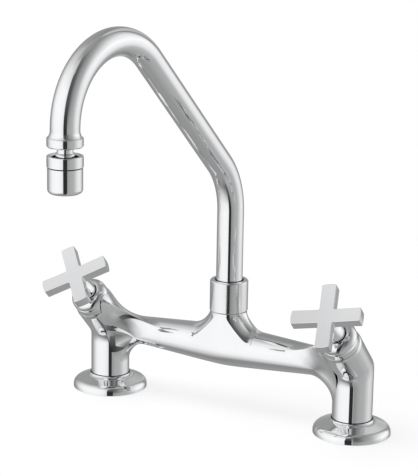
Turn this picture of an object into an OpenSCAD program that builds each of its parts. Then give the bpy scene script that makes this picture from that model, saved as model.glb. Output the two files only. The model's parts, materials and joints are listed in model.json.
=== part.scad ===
// Two-handle bridge mixer tap for a kitchen sink, standing on two deck inlets.
// Millimetres. The origin lies midway between the two inlets at deck level,
// +X runs along the bridge to the user's right, -Y points to the user and +Z up.
// It is drawn as it stands: both valves shut and the spout turned a little to the left.

/* [Body] */
// Distance between the two inlets
inlet_spacing = 200; // [150:1:240]
// Height of the bridge's axis above the deck
bridge_h = 48.2; // [46:0.1:70]
// Diameter of the pillars and of the inclined valve barrels
pillar_d = 28.6; // [27.5:0.1:34]
// Diameter of the bridge where it leaves the pillars
neck_d = 20.8; // [17:0.1:24]
// Diameter of the bridge at its middle
belly_d = 29.4; // [27.5:0.1:36]
// Length over which the belly of the bridge is rounded
belly_round = 8; // [2:0.5:20]
// Fillet under the bridge where it meets a pillar
fillet_low = 16; // [8:0.5:20]
// Fillet over the bridge where it meets a valve barrel
fillet_high = 30; // [12:0.5:34]
// Lean of the valve barrels from upright towards the user
valve_lean = 45; // [35:1:55]
// Distance from the bridge's axis to the mouth of a valve barrel
barrel_len = 33.9; // [32:0.1:38]
// Radius that rounds the mouth of a valve barrel
lip_r = 2; // [1:0.1:3]
// Height of the pillars' feet above the deck
foot_h = 9.4; // [8:0.1:12]
// Diameter of the boss under the spout
boss_d = 26.4; // [24:0.1:27]
// Height of the boss's shoulder above the deck
boss_h = 74.8; // [70:0.1:100]
// Fillet between the boss and the bridge
boss_fillet = 18; // [10:0.5:24]
// Diameter of the threaded spigot on the boss
spigot_d = 22.4; // [21:0.1:23]
// Height of the threaded spigot
spigot_h = 10; // [8:0.5:14]

/* [Waterways] */
// Diameter of the inlet ways in the shanks and pillars
inlet_bore_d = 13; // [9:0.5:14]
// Diameter of the way through the bridge
bridge_bore_d = 11; // [8:0.5:13]
// Diameter of the offset way from the inlet up to the valve seat
riser_d = 7.6; // [6:0.1:8]
// Diameter of the valve seat's hole
seat_d = 9; // [8:0.1:10]
// Distance of the valve seat behind the bridge's axis
seat_depth = 6; // [5:0.1:7]
// Diameter of the valve chamber
chamber_d = 17; // [16:0.1:18]
// Depth of the thread in the barrel's mouth
mouth_depth = 17; // [12:0.5:18]
// Diameter of the thread in the barrel's mouth
mouth_d = 19.2; // [18.4:0.1:20]
// Diameter of the spout's socket in the boss
socket_d = 17; // [16:0.1:18]
// Depth of the spout's socket below the top of the spigot
socket_depth = 28.8; // [24:0.1:30]

/* [Escutcheons] */
// Diameter of an escutcheon at its rim
flange_d = 55.2; // [50:0.1:70]
// Height of an escutcheon
flange_h = 11.6; // [11:0.1:14]
// Height of the upright rim
flange_rim_h = 1.76; // [1:0.01:3]
// Radius that rounds the shoulder
flange_shoulder_r = 5.5; // [3:0.1:6]
// Slope of the escutcheon's top from level
flange_slope = 20; // [12:1:24]
// Radius that sweeps the top up to the pillar
flange_sweep_r = 4.8; // [3:0.1:5]
// Thickness of the rubber gasket under an escutcheon
gasket_t = 3; // [2:0.1:4]
// How far the gasket stands out under the rim
gasket_proud = 0.3; // [0.1:0.1:0.6]
// Width of metal left outside and inside the gasket
gasket_land = 2.1; // [1.5:0.1:3]

/* [Shanks and fixings] */
// Diameter of a shank's pipe thread
shank_d = 20.8; // [20:0.1:21]
// Depth of the shank's thread in the pillar
shank_grip = 12.6; // [10:0.1:14]
// Thickness of the deck that the tap is shown clamped to
deck_t = 20; // [1:1:30]
// Length of the tail that takes a hose nut
tail_len = 22; // [16:1:30]
// Width of the relief groove above the tail
relief_w = 2; // [1:0.1:3]
// Diameter of a deck washer
deck_washer_d = 38; // [32:1:46]
// Thickness of a deck washer
deck_washer_t = 3; // [1.5:0.1:4]
// Width across the flats of a fixing nut
nut_af = 30; // [27:1:36]
// Thickness of a fixing nut
nut_t = 8; // [6:0.5:12]
// Length of thread left bare under the fixing nut
thread_spare = 5; // [1:0.5:20]

/* [Valves] */
// Diameter of the headwork's skirt in the chamber
skirt_d = 16.6; // [15.6:0.1:16.8]
// Distance from the bridge's axis to the lower end of the skirt
skirt_start = 6; // [5.6:0.1:8]
// Thickness of the fibre ring on the barrel's mouth
fibre_t = 1; // [0.5:0.1:1.5]
// Diameter of the fibre ring
fibre_d = 23.6; // [21:0.1:24]
// Width across the flats of the headwork's hexagon
hexagon_af = 20.5; // [19.8:0.1:20.8]
// Thickness of the headwork's hexagon
hexagon_t = 2.8; // [2:0.1:3]
// Length of the thread that holds the bonnet cover
cover_thread_len = 2.9; // [2.5:0.1:3.2]
// Diameter of the headwork's nose
nose_d = 14.4; // [13.6:0.1:14.6]
// Length of the headwork's nose
nose_len = 3.5; // [3:0.1:4]
// Width across the flats of the valve carrier
carrier_af = 11; // [10.4:0.1:11.4]
// Length of the carrier's hexagon
carrier_len = 18; // [16:0.1:18.4]
// Diameter of the carrier's foot
carrier_foot_d = 14; // [13:0.1:15]
// Thickness of the carrier's foot
carrier_foot_t = 3; // [2:0.1:3]
// Thickness of the rubber valve washer
valve_washer_t = 3.7; // [3:0.1:3.7]
// Diameter of the spindle's lifting screw
lift_screw_d = 7.1; // [6:0.1:8]
// Length of the spindle's lifting screw
lift_screw_len = 17; // [14:0.1:17]
// Diameter of the spindle's thrust collar
collar_d = 11; // [10.8:0.1:11.1]
// Thickness of the spindle's thrust collar
collar_t = 3; // [2:0.1:4]
// Diameter of the spindle's shaft
shaft_d = 9.9; // [9:0.1:10]
// Diameter of the spindle's end in the handle
spline_d = 8; // [7:0.1:8.6]
// Length of the spindle's end in the handle
spline_len = 14; // [10:0.5:15]
// Thickness of the clips on the spindles and on the ball stem
clip_t = 1; // [0.8:0.1:1.2]
// Thickness of the small O-rings
seal_t = 1.6; // [1.2:0.1:1.8]

/* [Bonnet covers] */
// Diameter of a bonnet cover
cover_d = 27.2; // [26.6:0.1:28]
// Length of a bonnet cover from the barrel's mouth
cover_len = 13.1; // [13:0.1:16]
// Radius that rounds the front of a bonnet cover
cover_nose_r = 6; // [4:0.1:6.1]
// Wall of a bonnet cover
cover_wall = 1.4; // [1:0.1:1.6]
// Width of the seam between a barrel and its cover
seam = 0.2; // [0.1:0.05:0.4]

/* [Cross handles] */
// Distance from the bridge's axis to the front of a cross
handle_front = 71.6; // [68:0.1:80]
// Span of a cross from tip to tip
cross_span = 49.4; // [40:0.1:60]
// Width of a cross's arms
arm_w = 10.1; // [9:0.1:14]
// Thickness of a cross
cross_t = 7.5; // [6:0.1:10]
// Radius in the four inner corners of a cross
corner_r = 1.2; // [0.5:0.1:3]
// Diameter of the neck behind a cross
neck_of_cross_d = 14; // [12.6:0.1:15]
// Angle that the left cross stands at when shut
turn_left = 36.5; // [0:0.5:90]
// Angle that the right cross stands at when shut
turn_right = 13; // [0:0.5:90]
// Diameter of the grub screw that holds a cross on its spindle
grub_d = 4; // [3:0.5:4]

/* [Spout] */
// Outer diameter of the spout tube
tube_d = 19.1; // [18:0.1:19.2]
// Wall of the spout tube
tube_wall = 1.2; // [1:0.1:1.5]
// Height above the deck where the spout's first bend starts
stem_top_h = 148.1; // [140:0.1:200]
// Centreline radius of the first bend
bend_low_r = 53; // [30:0.5:70]
// Angle that the spout leans forward after the first bend
lean_angle = 45; // [30:1:60]
// Length of the leaning run
lean_len = 117; // [80:0.5:160]
// Centreline radius of the top bend
bend_top_r = 49.6; // [30:0.1:70]
// Length of the straight end of the spout, with its flare
end_len = 5; // [4.6:0.1:20]
// Diameter of the flared end of the spout
flare_d = 22.2; // [20.5:0.1:23]
// Height of the flare at the end of the spout
flare_h = 4; // [3:0.1:4.4]
// Direction of the spout, from straight towards the user to the user's right
heading = -6.9; // [-180:0.1:180]

/* [Spout joint] */
// Outer diameter of the spout nut
spout_nut_d = 27.6; // [26.4:0.1:30]
// Height of the spout nut
spout_nut_h = 22.9; // [20:0.1:26]
// Chamfer on the edges of the spout nut
spout_nut_chamfer = 0.8; // [0.4:0.1:1.2]
// Length of the bush's journal in the socket
journal_len = 24; // [20:0.5:26]
// Thickness of the bush's collar
bush_collar_t = 2.5; // [2:0.1:3]
// Length of the bush's spigot in the tube
bush_spigot_len = 9; // [6:0.5:12]
// Thickness of the slip washer over the bush's collar
slip_t = 1.2; // [0.8:0.1:1.5]

/* [Swivel outlet] */
// Diameter of the adaptor and of the ring round the ball
outlet_d = 23.4; // [23.2:0.1:25]
// Height of the adaptor
adaptor_h = 6.2; // [5.8:0.1:8]
// Gap between the adaptor and the ring, where the ball stem shows
outlet_gap = 5.3; // [5:0.1:7]
// Height of the ring round the ball
ring_h = 7.3; // [7:0.1:8]
// Gap of the dark groove between the ring and the cup
groove_h = 0.5; // [0.3:0.1:0.8]
// Diameter of the aerator cup
cup_d = 22.6; // [22:0.1:23]
// Height of the aerator cup
cup_h = 16.6; // [16:0.1:24]
// Radius that rounds the bottom edge of the cup
cup_edge_r = 3; // [1:0.1:3.2]
// Diameter of the ball
ball_d = 16; // [15.6:0.1:16.2]
// Depth of the ball's centre below the top of the ring
ball_depth = 6.2; // [6:0.1:6.5]
// Diameter of the ball stem's neck
stem_d = 10.48; // [9.5:0.02:11]
// Diameter of the ball stem's lower collar
stem_collar_d = 12.4; // [11.5:0.1:12.6]
// Height of the ball stem's lower collar
stem_collar_h = 3; // [2:0.1:3.2]
// Diameter of the way through the ball stem
stem_bore_d = 6.4; // [4:0.1:7]

/* [Clearances] */
// Radial clearance of threads and turning fits
fit_gap = 0.05; // [0.02:0.01:0.08]
// Gap between parts that move past each other
run_gap = 0.3; // [0.3:0.05:0.4]
// Overrun of cuts past the faces that they cut
overrun = 1; // [0.5:0.1:2]

/* [Hidden] */
$fn = 64;

LEFT = -1;
RIGHT = 1;

// Steps round a fillet and along it, and round an outline's arc
FILLET_SIDES = 40;
FILLET_STEPS = 6;
ARC_STEPS = 10;
// A fillet's arc ends this many degrees short of tangent, and then sinks into the wall
TUCK_ANGLE = 8;
// Share of a fillet's radius that its tucked edge runs on for
TUCK_SHARE = 0.22;
// The spout's straight runs lap over its bends by this much, and stand out by this step
JOIN_LAP = 0.3;
JOIN_STEP = 0.04;

CHROME = [0.86, 0.87, 0.88];
BRASS = [0.80, 0.66, 0.36];
STEEL = [0.62, 0.63, 0.65];
RUBBER = [0.10, 0.10, 0.11];
NYLON = [0.92, 0.92, 0.90];
FIBRE = [0.55, 0.20, 0.14];

pillar_r = pillar_d / 2;
neck_r = neck_d / 2;
belly_r = belly_d / 2;
boss_r = boss_d / 2;
tube_r = tube_d / 2;
tube_in_r = tube_r - tube_wall;
half_spacing = inlet_spacing / 2;
cover_r = cover_d / 2;
boss_rise = boss_h - bridge_h;
spigot_top_h = boss_h + spigot_h;
socket_floor_h = spigot_top_h - socket_depth;

// Places along a valve's own axis, measured from the bridge's axis towards the cross
cover_front = barrel_len + cover_len;
hexagon_start = barrel_len + fibre_t;
hexagon_end = hexagon_start + hexagon_t;
nose_start = hexagon_end + cover_thread_len;
nose_end = nose_start + nose_len;
carrier_start = carrier_foot_t + valve_washer_t + run_gap - seat_depth;
carrier_end = carrier_start + carrier_len;
lift_screw_end = skirt_start + lift_screw_len + grub_d / 2;
collar_end = lift_screw_end + collar_t;
clip_start = nose_end + run_gap;
spline_start = clip_start + clip_t;
grub_place = spline_start + spline_len / 2;
cross_back = handle_front - cross_t;
neck_start = spline_start + run_gap;

// The seat of the bush's collar, the slip washer over it and the tube that stands on it
bush_collar_h = spigot_top_h + run_gap;
tube_start_h = bush_collar_h + bush_collar_t;
slip_h = tube_start_h + run_gap;
nut_lip_h = slip_h + slip_t;
nut_foot_h = boss_h + seam;
nut_top_h = boss_h + spout_nut_h;

// The end of the spout and what hangs from it, by height above the deck
reach = bend_low_r * (1 - cos(lean_angle)) + lean_len * sin(lean_angle)
    + bend_top_r * (1 + cos(lean_angle));
bend_end_h = stem_top_h + bend_low_r * sin(lean_angle) + lean_len * cos(lean_angle)
    - bend_top_r * sin(lean_angle);
tube_end_h = bend_end_h - end_len;
adaptor_foot_h = tube_end_h - adaptor_h;
ring_top_h = adaptor_foot_h - outlet_gap;
ring_foot_h = ring_top_h - ring_h;
cup_top_h = ring_foot_h - groove_h;
cup_foot_h = cup_top_h - cup_h;
ball_h = ring_top_h - ball_depth;

// Rounded values of an arc: points at radius r about c, from angle a to angle b
function arc(c, r, a, b, n = ARC_STEPS) =
    [for (i = [0 : n]) c + r * [cos(a + (b - a) * i / n), sin(a + (b - a) * i / n)]];

// Radius of the bridge at a distance x from its middle: two cones with a rounded belly
function bridge_r(x) = let (
        end = half_spacing - pillar_r - fillet_low,
        slope = (belly_r - neck_r) / (norm([end, belly_round]) - belly_round)
    )
    abs(x) > end ? neck_r : belly_r - slope * (norm([x, belly_round]) - belly_round);

// Point at share t of the arc about c that runs from direction u to direction v, w degrees apart
function fillet_point(c, r, u, v, w, t) = c + r * (sin((1 - t) * w) * u + sin(t * w) * v) / sin(w);

// Unit tangent of the same arc at share t
function fillet_tangent(u, v, w, t) = (cos(t * w) * v - cos((1 - t) * w) * u) / sin(w);

// One strip of a rolling-ball fillet: its tucked start, the arc and its tucked end
function fillet_strip(c, r, u, v) = let (
        w = acos(u * v),
        t0 = TUCK_ANGLE / w,
        t1 = 1 - t0,
        tuck = r * TUCK_SHARE
    )
    concat(
        [fillet_point(c, r, u, v, w, t0) - tuck * fillet_tangent(u, v, w, t0)],
        [for (i = [0 : FILLET_STEPS]) fillet_point(c, r, u, v, w, t0 + (t1 - t0) * i / FILLET_STEPS)],
        [fillet_point(c, r, u, v, w, t1) + tuck * fillet_tangent(u, v, w, t1)]
    );

// Direction of the valve's axis in the YZ plane, and the nearest point of the bent pillar's axis
valve_axis = [-sin(valve_lean), cos(valve_lean)];
function on_pillar(p) = [0, min(p[1], 0)];
function on_barrel(p) = max(p * valve_axis, 0) * valve_axis;
function on_elbow(p) = norm(p - on_pillar(p)) < norm(p - on_barrel(p)) ? on_pillar(p) : on_barrel(p);

// Fillet between the bridge and a bent pillar, in the direction a round the bridge.
// A ball that touches both rolls round the bridge, and its radius grows towards the top.
function arm_strip(a) = let (
        r = (fillet_low + fillet_high) / 2 + (fillet_high - fillet_low) / 2 * sin(a),
        yz = (neck_r + r) * [cos(a), sin(a)],
        foot = on_elbow(yz),
        x = sqrt(pow(pillar_r + r, 2) - pow(norm(yz - foot), 2)),
        c = [x, yz[0], yz[1]],
        d = [0, foot[0], foot[1]] - c
    )
    fillet_strip(c, r, [0, -cos(a), -sin(a)], d / norm(d));

// Fillet between the boss and the bridge, in the direction a round the boss
function boss_strip(a) = let (
        r = boss_fillet,
        x = (boss_r + r) * cos(a),
        y = (boss_r + r) * sin(a),
        b = bridge_r(x) + r,
        z = sqrt(b * b - y * y)
    )
    fillet_strip([x, y, z], r, [-cos(a), -sin(a), 0], [0, -y, -z] / b);

// Closed solid over a ring of strips, with a point to close each end
module strips_solid(strips, start_tip, end_tip) {
    n = len(strips);
    m = len(strips[0]);
    side_faces = [
        for (i = [0 : m - 2], j = [0 : n - 1])
            let (a = i * n + j, b = i * n + (j + 1) % n)
            each [[a, b, b + n], [a, b + n, a + n]]
    ];
    start_faces = [for (j = [0 : n - 1]) [n * m, (j + 1) % n, j]];
    end_faces = [for (j = [0 : n - 1]) [n * m + 1, (m - 1) * n + j, (m - 1) * n + (j + 1) % n]];
    polyhedron(
        points = concat([for (i = [0 : m - 1], j = [0 : n - 1]) strips[j][i]], [start_tip, end_tip]),
        faces = concat(side_faces, start_faces, end_faces)
    );
}

// Places
module at_inlet(side) translate([side * half_spacing, 0, 0]) children();
module at_elbow(side) translate([side * half_spacing, 0, bridge_h]) children();
module at_valve(side) at_elbow(side) rotate([valve_lean, 0, 0]) children();
module facing() rotate([0, 0, heading - 90]) children();
module at_outlet() facing() translate([reach, 0, 0]) children();

// Ring about Z between two radii and two heights
module ring(r_in, r_out, z0, z1) {
    translate([0, 0, z0])
        difference() {
            cylinder(r = r_out, h = z1 - z0);
            translate([0, 0, -overrun]) cylinder(r = r_in, h = z1 - z0 + 2 * overrun);
        }
}

// Cylinder about Z between two heights
module post(r, z0, z1) translate([0, 0, z0]) cylinder(r = r, h = z1 - z0);

// Six-sided bar about Z, by its width across the flats
module hexagon_bar(af, z0, z1) {
    translate([0, 0, z0]) cylinder(r = af / sqrt(3), h = z1 - z0, $fn = 6);
}

// O-ring about Z whose outside has radius r
module o_ring(r, t, z) translate([0, 0, z]) rotate_extrude() translate([r - t / 2, 0]) circle(t / 2);

// Bridge body: one casting with two bent pillars, the bellied bridge and the spout's boss
module bent_pillar(side) {
    mitre_size = 2 * (bridge_h + barrel_len);
    at_elbow(side) {
        difference() {
            post(pillar_r, foot_h - bridge_h, pillar_r);
            rotate([valve_lean / 2, 0, 0])
                translate([-mitre_size / 2, -mitre_size / 2, 0]) cube(mitre_size);
        }
        difference() {
            rotate([valve_lean, 0, 0]) post(pillar_r, -pillar_r, barrel_len + overrun);
            rotate([valve_lean / 2, 0, 0])
                translate([-mitre_size / 2, -mitre_size / 2, -mitre_size]) cube(mitre_size);
        }
    }
}

module bridge_bar() {
    half_steps = 12;
    end = half_spacing - pillar_r - fillet_low;
    xs = [for (i = [-half_steps : half_steps]) end * sign(i) * pow(abs(i) / half_steps, 1.5)];
    translate([0, 0, bridge_h]) rotate([0, 90, 0]) rotate_extrude()
        polygon(concat(
            [[0, -half_spacing], [neck_r, -half_spacing]],
            [for (x = xs) [bridge_r(x), x]],
            [[neck_r, half_spacing], [0, half_spacing]]
        ));
}

module arm_fillet(side) {
    strips = [for (i = [0 : FILLET_SIDES - 1]) arm_strip(360 * i / FILLET_SIDES)];
    at_elbow(side) mirror([side > 0 ? 1 : 0, 0, 0])
        strips_solid(strips, [strips[0][0][0], 0, 0], [0, 0, 0]);
}

module boss_skirt() {
    strips = [for (i = [0 : FILLET_SIDES - 1]) boss_strip(360 * i / FILLET_SIDES)];
    translate([0, 0, bridge_h]) strips_solid(strips, [0, 0, boss_rise], [0, 0, 0]);
}

// What is cut away outside the mouth of a barrel, so that its edge is round down to the cover
module barrel_mouth() {
    turn = acos(1 - (pillar_r - cover_r) / lip_r);
    start = barrel_len - lip_r * sin(turn);
    rotate_extrude() polygon(concat(
        arc([pillar_r - lip_r, start], lip_r, 0, turn),
        [[cover_r, cover_front], [belly_d, cover_front], [belly_d, start]]
    ));
    post(belly_d, barrel_len, cover_front);
}

module body_ways(side) {
    shank_top_h = foot_h + shank_grip;
    riser_shift = seat_depth;
    at_inlet(side) {
        post(shank_d / 2 + fit_gap, foot_h - overrun, shank_top_h);
        post(inlet_bore_d / 2, shank_top_h - overrun, bridge_h - chamber_d / 2 - seat_depth);
        translate([0, riser_shift, 0])
            post(riser_d / 2, bridge_h - chamber_d - seat_depth, bridge_h - chamber_d / 2);
    }
    at_valve(side) {
        post(seat_d / 2, -2 * seat_depth, 0);
        post(chamber_d / 2, -seat_depth, barrel_len);
        post(mouth_d / 2, barrel_len - mouth_depth, barrel_len + overrun);
        barrel_mouth();
    }
}

module bridge_body() {
    color(CHROME) difference() {
        union() {
            difference() {
                union() {
                    bridge_bar();
                    post(boss_r, bridge_h, boss_h + overrun);
                    boss_skirt();
                }
                post(boss_r + boss_fillet, boss_h, boss_h + boss_fillet);
            }
            post(spigot_d / 2, bridge_h, spigot_top_h);
            for (side = [LEFT, RIGHT]) {
                bent_pillar(side);
                arm_fillet(side);
            }
        }
        for (side = [LEFT, RIGHT]) body_ways(side);
        translate([-half_spacing, 0, bridge_h]) rotate([0, 90, 0])
            cylinder(r = bridge_bore_d / 2, h = inlet_spacing);
        post(bridge_bore_d / 2, bridge_h, socket_floor_h + overrun);
        post(socket_d / 2, socket_floor_h, spigot_top_h + overrun);
    }
}

// Escutcheon: a turned brass disc under each pillar, with a groove for its gasket
module flange(side) {
    rim_r = flange_d / 2;
    seat_r = pillar_r + fit_gap;
    bore_r = shank_d / 2 + seam;
    shoulder = [rim_r - flange_shoulder_r, flange_rim_h];
    shoulder_points = arc(shoulder, flange_shoulder_r, 0, 90 - flange_slope);
    last = shoulder_points[len(shoulder_points) - 1];
    touch_r = seat_r + flange_sweep_r * (1 - sin(flange_slope));
    touch = last + (last[0] - touch_r) * [-1, tan(flange_slope)];
    sweep = touch + flange_sweep_r * [sin(flange_slope), cos(flange_slope)];
    lip_angle = 180 + asin((sweep[1] - flange_h) / flange_sweep_r);
    color(CHROME) at_inlet(side) rotate_extrude() polygon(concat(
        [[rim_r, gasket_proud]],
        shoulder_points,
        arc(sweep, flange_sweep_r, 270 - flange_slope, lip_angle),
        [
            [seat_r, flange_h], [seat_r, foot_h], [bore_r, foot_h],
            [bore_r, gasket_proud], [bore_r + gasket_land, gasket_proud],
            [bore_r + gasket_land, gasket_t], [rim_r - gasket_land, gasket_t],
            [rim_r - gasket_land, gasket_proud]
        ]
    ));
}

module flange_gasket(side) {
    color(RUBBER) at_inlet(side)
        ring(shank_d / 2 + seam + gasket_land, flange_d / 2 - gasket_land, 0, gasket_t);
}

// Threaded shank that carries the water up through the deck
module inlet_shank(side) {
    relief_top = -deck_t - deck_washer_t - nut_t - thread_spare;
    relief_foot = relief_top - relief_w;
    relief_r = shank_d / 2 - relief_w / 2;
    color(BRASS) at_inlet(side) difference() {
        union() {
            post(relief_r, relief_foot - tail_len, foot_h + shank_grip);
            post(shank_d / 2, relief_top, foot_h + shank_grip);
            post(shank_d / 2, relief_foot - tail_len, relief_foot);
        }
        post(inlet_bore_d / 2, relief_foot - tail_len - overrun, foot_h + shank_grip + overrun);
    }
}

module deck_washer(side) {
    color(STEEL) at_inlet(side)
        ring(shank_d / 2 + fit_gap, deck_washer_d / 2, -deck_t - deck_washer_t, -deck_t);
}

module fixing_nut(side) {
    top = -deck_t - deck_washer_t;
    color(BRASS) at_inlet(side) difference() {
        hexagon_bar(nut_af, top - nut_t, top);
        post(shank_d / 2 + fit_gap, top - nut_t - overrun, top + overrun);
    }
}

// Headwork: the brass insert that guides the carrier and the spindle
module fibre_ring(side) {
    color(FIBRE) at_valve(side)
        ring(mouth_d / 2 + fit_gap, fibre_d / 2, barrel_len, barrel_len + fibre_t);
}

module headwork(side) {
    guide_top = lift_screw_end - run_gap;
    color(BRASS) at_valve(side) difference() {
        union() {
            post(skirt_d / 2, skirt_start, barrel_len);
            post(mouth_d / 2 - fit_gap, barrel_len - mouth_depth + run_gap, hexagon_start);
            hexagon_bar(hexagon_af, hexagon_start, hexagon_end);
            post(mouth_d / 2, hexagon_end, nose_start);
            post(nose_d / 2, nose_start, nose_end);
        }
        hexagon_bar(carrier_af + 2 * fit_gap, skirt_start - overrun, guide_top);
        post(collar_d / 2 + fit_gap, guide_top, collar_end + run_gap);
        post(shaft_d / 2 + fit_gap, guide_top, nose_end + overrun);
    }
}

// Bonnet cover: a polished shell that screws onto the headwork and hides it
module bonnet_cover(side) {
    foot = barrel_len + seam;
    centre = [cover_r - cover_nose_r, cover_front - cover_nose_r];
    in_r = cover_r - cover_wall;
    thread_r = mouth_d / 2 + fit_gap;
    color(CHROME) at_valve(side) rotate_extrude() polygon(concat(
        [[in_r, foot], [cover_r, foot]],
        arc(centre, cover_nose_r, 0, 90),
        arc(centre, cover_nose_r - cover_wall, 90, 0),
        [
            [in_r, nose_start], [thread_r, nose_start],
            [thread_r, hexagon_end + seam], [in_r, hexagon_end + seam]
        ]
    ));
}

// Spindle: turns with the cross without rising, and its screw lifts the carrier
module spindle(side) {
    groove_z = (collar_end + nose_end) / 2 + seal_t;
    clip_r = spline_d / 2 - seam;
    color(BRASS) at_valve(side) difference() {
        union() {
            post(lift_screw_d / 2, lift_screw_end - lift_screw_len, lift_screw_end);
            post(collar_d / 2, lift_screw_end, collar_end);
            post(shaft_d / 2, collar_end, clip_start);
            post(clip_r, clip_start, spline_start);
            post(spline_d / 2, spline_start, spline_start + spline_len);
        }
        ring(shaft_d / 2 - seal_t + fit_gap, shaft_d / 2 + overrun,
            groove_z - seal_t / 2 - fit_gap, groove_z + seal_t / 2 + fit_gap);
    }
}

module spindle_seal(side) {
    color(RUBBER) at_valve(side)
        o_ring(shaft_d / 2, seal_t - fit_gap, (collar_end + nose_end) / 2 + seal_t);
}

module spindle_clip(side) {
    color(STEEL) at_valve(side)
        ring(spline_d / 2 - seam, shaft_d / 2 + clip_t, clip_start, clip_start + clip_t);
}

// Carrier: a hexagon that slides in the headwork and presses the washer on the seat
module valve_carrier(side) {
    foot_start = carrier_start - carrier_foot_t;
    color(BRASS) at_valve(side) difference() {
        union() {
            post(carrier_foot_d / 2, foot_start, carrier_start);
            hexagon_bar(carrier_af, carrier_start - fit_gap, carrier_end);
        }
        post(lift_screw_d / 2 + fit_gap, carrier_start + grub_d / 2, carrier_end + overrun);
        post(grub_d / 2 + fit_gap, foot_start - overrun, carrier_start + grub_d);
    }
}

module valve_washer(side) {
    washer_start = run_gap - seat_depth;
    color(RUBBER) at_valve(side)
        ring(grub_d / 2 + fit_gap, carrier_foot_d / 2 - seam, washer_start, washer_start + valve_washer_t);
}

module washer_screw(side) {
    head_start = run_gap - seat_depth;
    color(STEEL) at_valve(side) {
        post(grub_d / 2 + clip_t, head_start - clip_t, head_start);
        post(grub_d / 2, head_start, carrier_start + grub_d / 2);
    }
}

// Cross handle: four flat square arms on a round neck that fits over the spindle
module cross_outline() {
    intersection() {
        union() {
            square([cross_span, arm_w], center = true);
            square([arm_w, cross_span], center = true);
            difference() {
                square(arm_w + 2 * corner_r, center = true);
                for (quarter = [0 : 90 : 270])
                    rotate(quarter) translate((arm_w / 2 + corner_r) * [1, 1]) circle(corner_r);
            }
        }
        circle(cross_span / 2, $fn = 96);
    }
}

module cross_handle(side, turn) {
    color(CHROME) at_valve(side) difference() {
        union() {
            translate([0, 0, cross_back]) rotate(turn) linear_extrude(cross_t) cross_outline();
            post(neck_of_cross_d / 2, neck_start, cross_back);
        }
        post(spline_d / 2 + fit_gap, neck_start - overrun, spline_start + spline_len + run_gap);
        translate([0, 0, grub_place]) rotate([-90, 0, 0])
            post(grub_d / 2 + fit_gap, 0, neck_of_cross_d / 2 + overrun);
    }
}

module grub_screw(side) {
    color(STEEL) at_valve(side) translate([0, 0, grub_place]) rotate([-90, 0, 0])
        difference() {
            post(grub_d / 2, spline_d / 2 + fit_gap, neck_of_cross_d / 2 - seam);
            hexagon_bar(grub_d / 2, neck_of_cross_d / 2 - seam - grub_d / 3, neck_of_cross_d / 2);
        }
}

// Spout nut: holds the spout down on the boss and lets it turn
module spout_nut() {
    r = spout_nut_d / 2;
    c = spout_nut_chamfer;
    thread_r = spigot_d / 2 + fit_gap;
    lip_r = tube_r + seam;
    color(CHROME) rotate_extrude() polygon([
        [thread_r, nut_foot_h], [r - c / 2, nut_foot_h], [r, nut_foot_h + c / 2],
        [r, nut_top_h - c], [r - c, nut_top_h], [lip_r, nut_top_h],
        [lip_r, nut_lip_h], [thread_r, nut_lip_h]
    ]);
}

module slip_washer() color(NYLON) ring(tube_r + seam, spigot_d / 2 - seam, slip_h, nut_lip_h);

// Spout bush: the journal that turns in the socket, brazed into the foot of the tube
seal_heights = [for (i = [1, 2]) bush_collar_h - journal_len * i / 3];

module spout_bush() {
    journal_r = socket_d / 2 - fit_gap;
    color(BRASS) difference() {
        union() {
            post(journal_r, bush_collar_h - journal_len, bush_collar_h);
            post(spigot_d / 2 - seam, bush_collar_h, tube_start_h);
            post(tube_in_r, tube_start_h, tube_start_h + bush_spigot_len);
        }
        for (z = seal_heights)
            ring(journal_r - seal_t + fit_gap, journal_r + overrun,
                z - seal_t / 2 - fit_gap, z + seal_t / 2 + fit_gap);
        post(bridge_bore_d / 2, bush_collar_h - journal_len - overrun,
            tube_start_h + bush_spigot_len + overrun);
    }
}

module spout_seals() {
    color(RUBBER) for (z = seal_heights) o_ring(socket_d / 2 - fit_gap, seal_t - fit_gap, z);
}

// Spout tube: upright stem, lean, top bend and a flared end, all in one upright plane.
// The same line is drawn with the outer and the inner radius, and the inner one is cut away.
module line_bend(r, bend_r, angle) {
    translate([bend_r, 0, 0]) rotate([90, 0, 180])
        rotate_extrude(angle = angle) translate([bend_r, 0]) circle(r);
}

module past_bend(bend_r, angle) {
    translate([bend_r * (1 - cos(angle)), 0, bend_r * sin(angle)]) rotate([0, angle, 0]) children();
}

module spout_line(r, extra) {
    in_r = r - JOIN_STEP;
    post(r, tube_start_h - extra, stem_top_h + JOIN_LAP);
    translate([0, 0, stem_top_h]) {
        line_bend(in_r, bend_low_r, lean_angle);
        past_bend(bend_low_r, lean_angle) {
            post(r, -JOIN_LAP, lean_len + JOIN_LAP);
            translate([0, 0, lean_len]) line_bend(in_r, bend_top_r, 180 - lean_angle);
        }
    }
    translate([reach, 0, 0]) post(r, tube_end_h - extra, bend_end_h + JOIN_LAP);
}

module tube_flare() {
    flare_r = flare_d / 2;
    step = flare_r - tube_r;
    sweep_r = (flare_h * flare_h + step * step) / (2 * step);
    sweep_angle = asin(flare_h / sweep_r);
    rotate_extrude() polygon(concat(
        [[0, tube_end_h], [flare_r, tube_end_h]],
        arc([tube_r + sweep_r, tube_end_h + flare_h], sweep_r, 180 + sweep_angle, 180),
        [[0, tube_end_h + flare_h]]
    ));
}

module spout_tube() {
    color(CHROME) facing() difference() {
        union() {
            spout_line(tube_r, 0);
            translate([reach, 0, 0]) tube_flare();
        }
        spout_line(tube_in_r, overrun);
    }
}

// Adaptor: screwed into the end of the spout, with a floor that the ball stem turns in
floor_t = 2;
cavity_r = 7.2;

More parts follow.
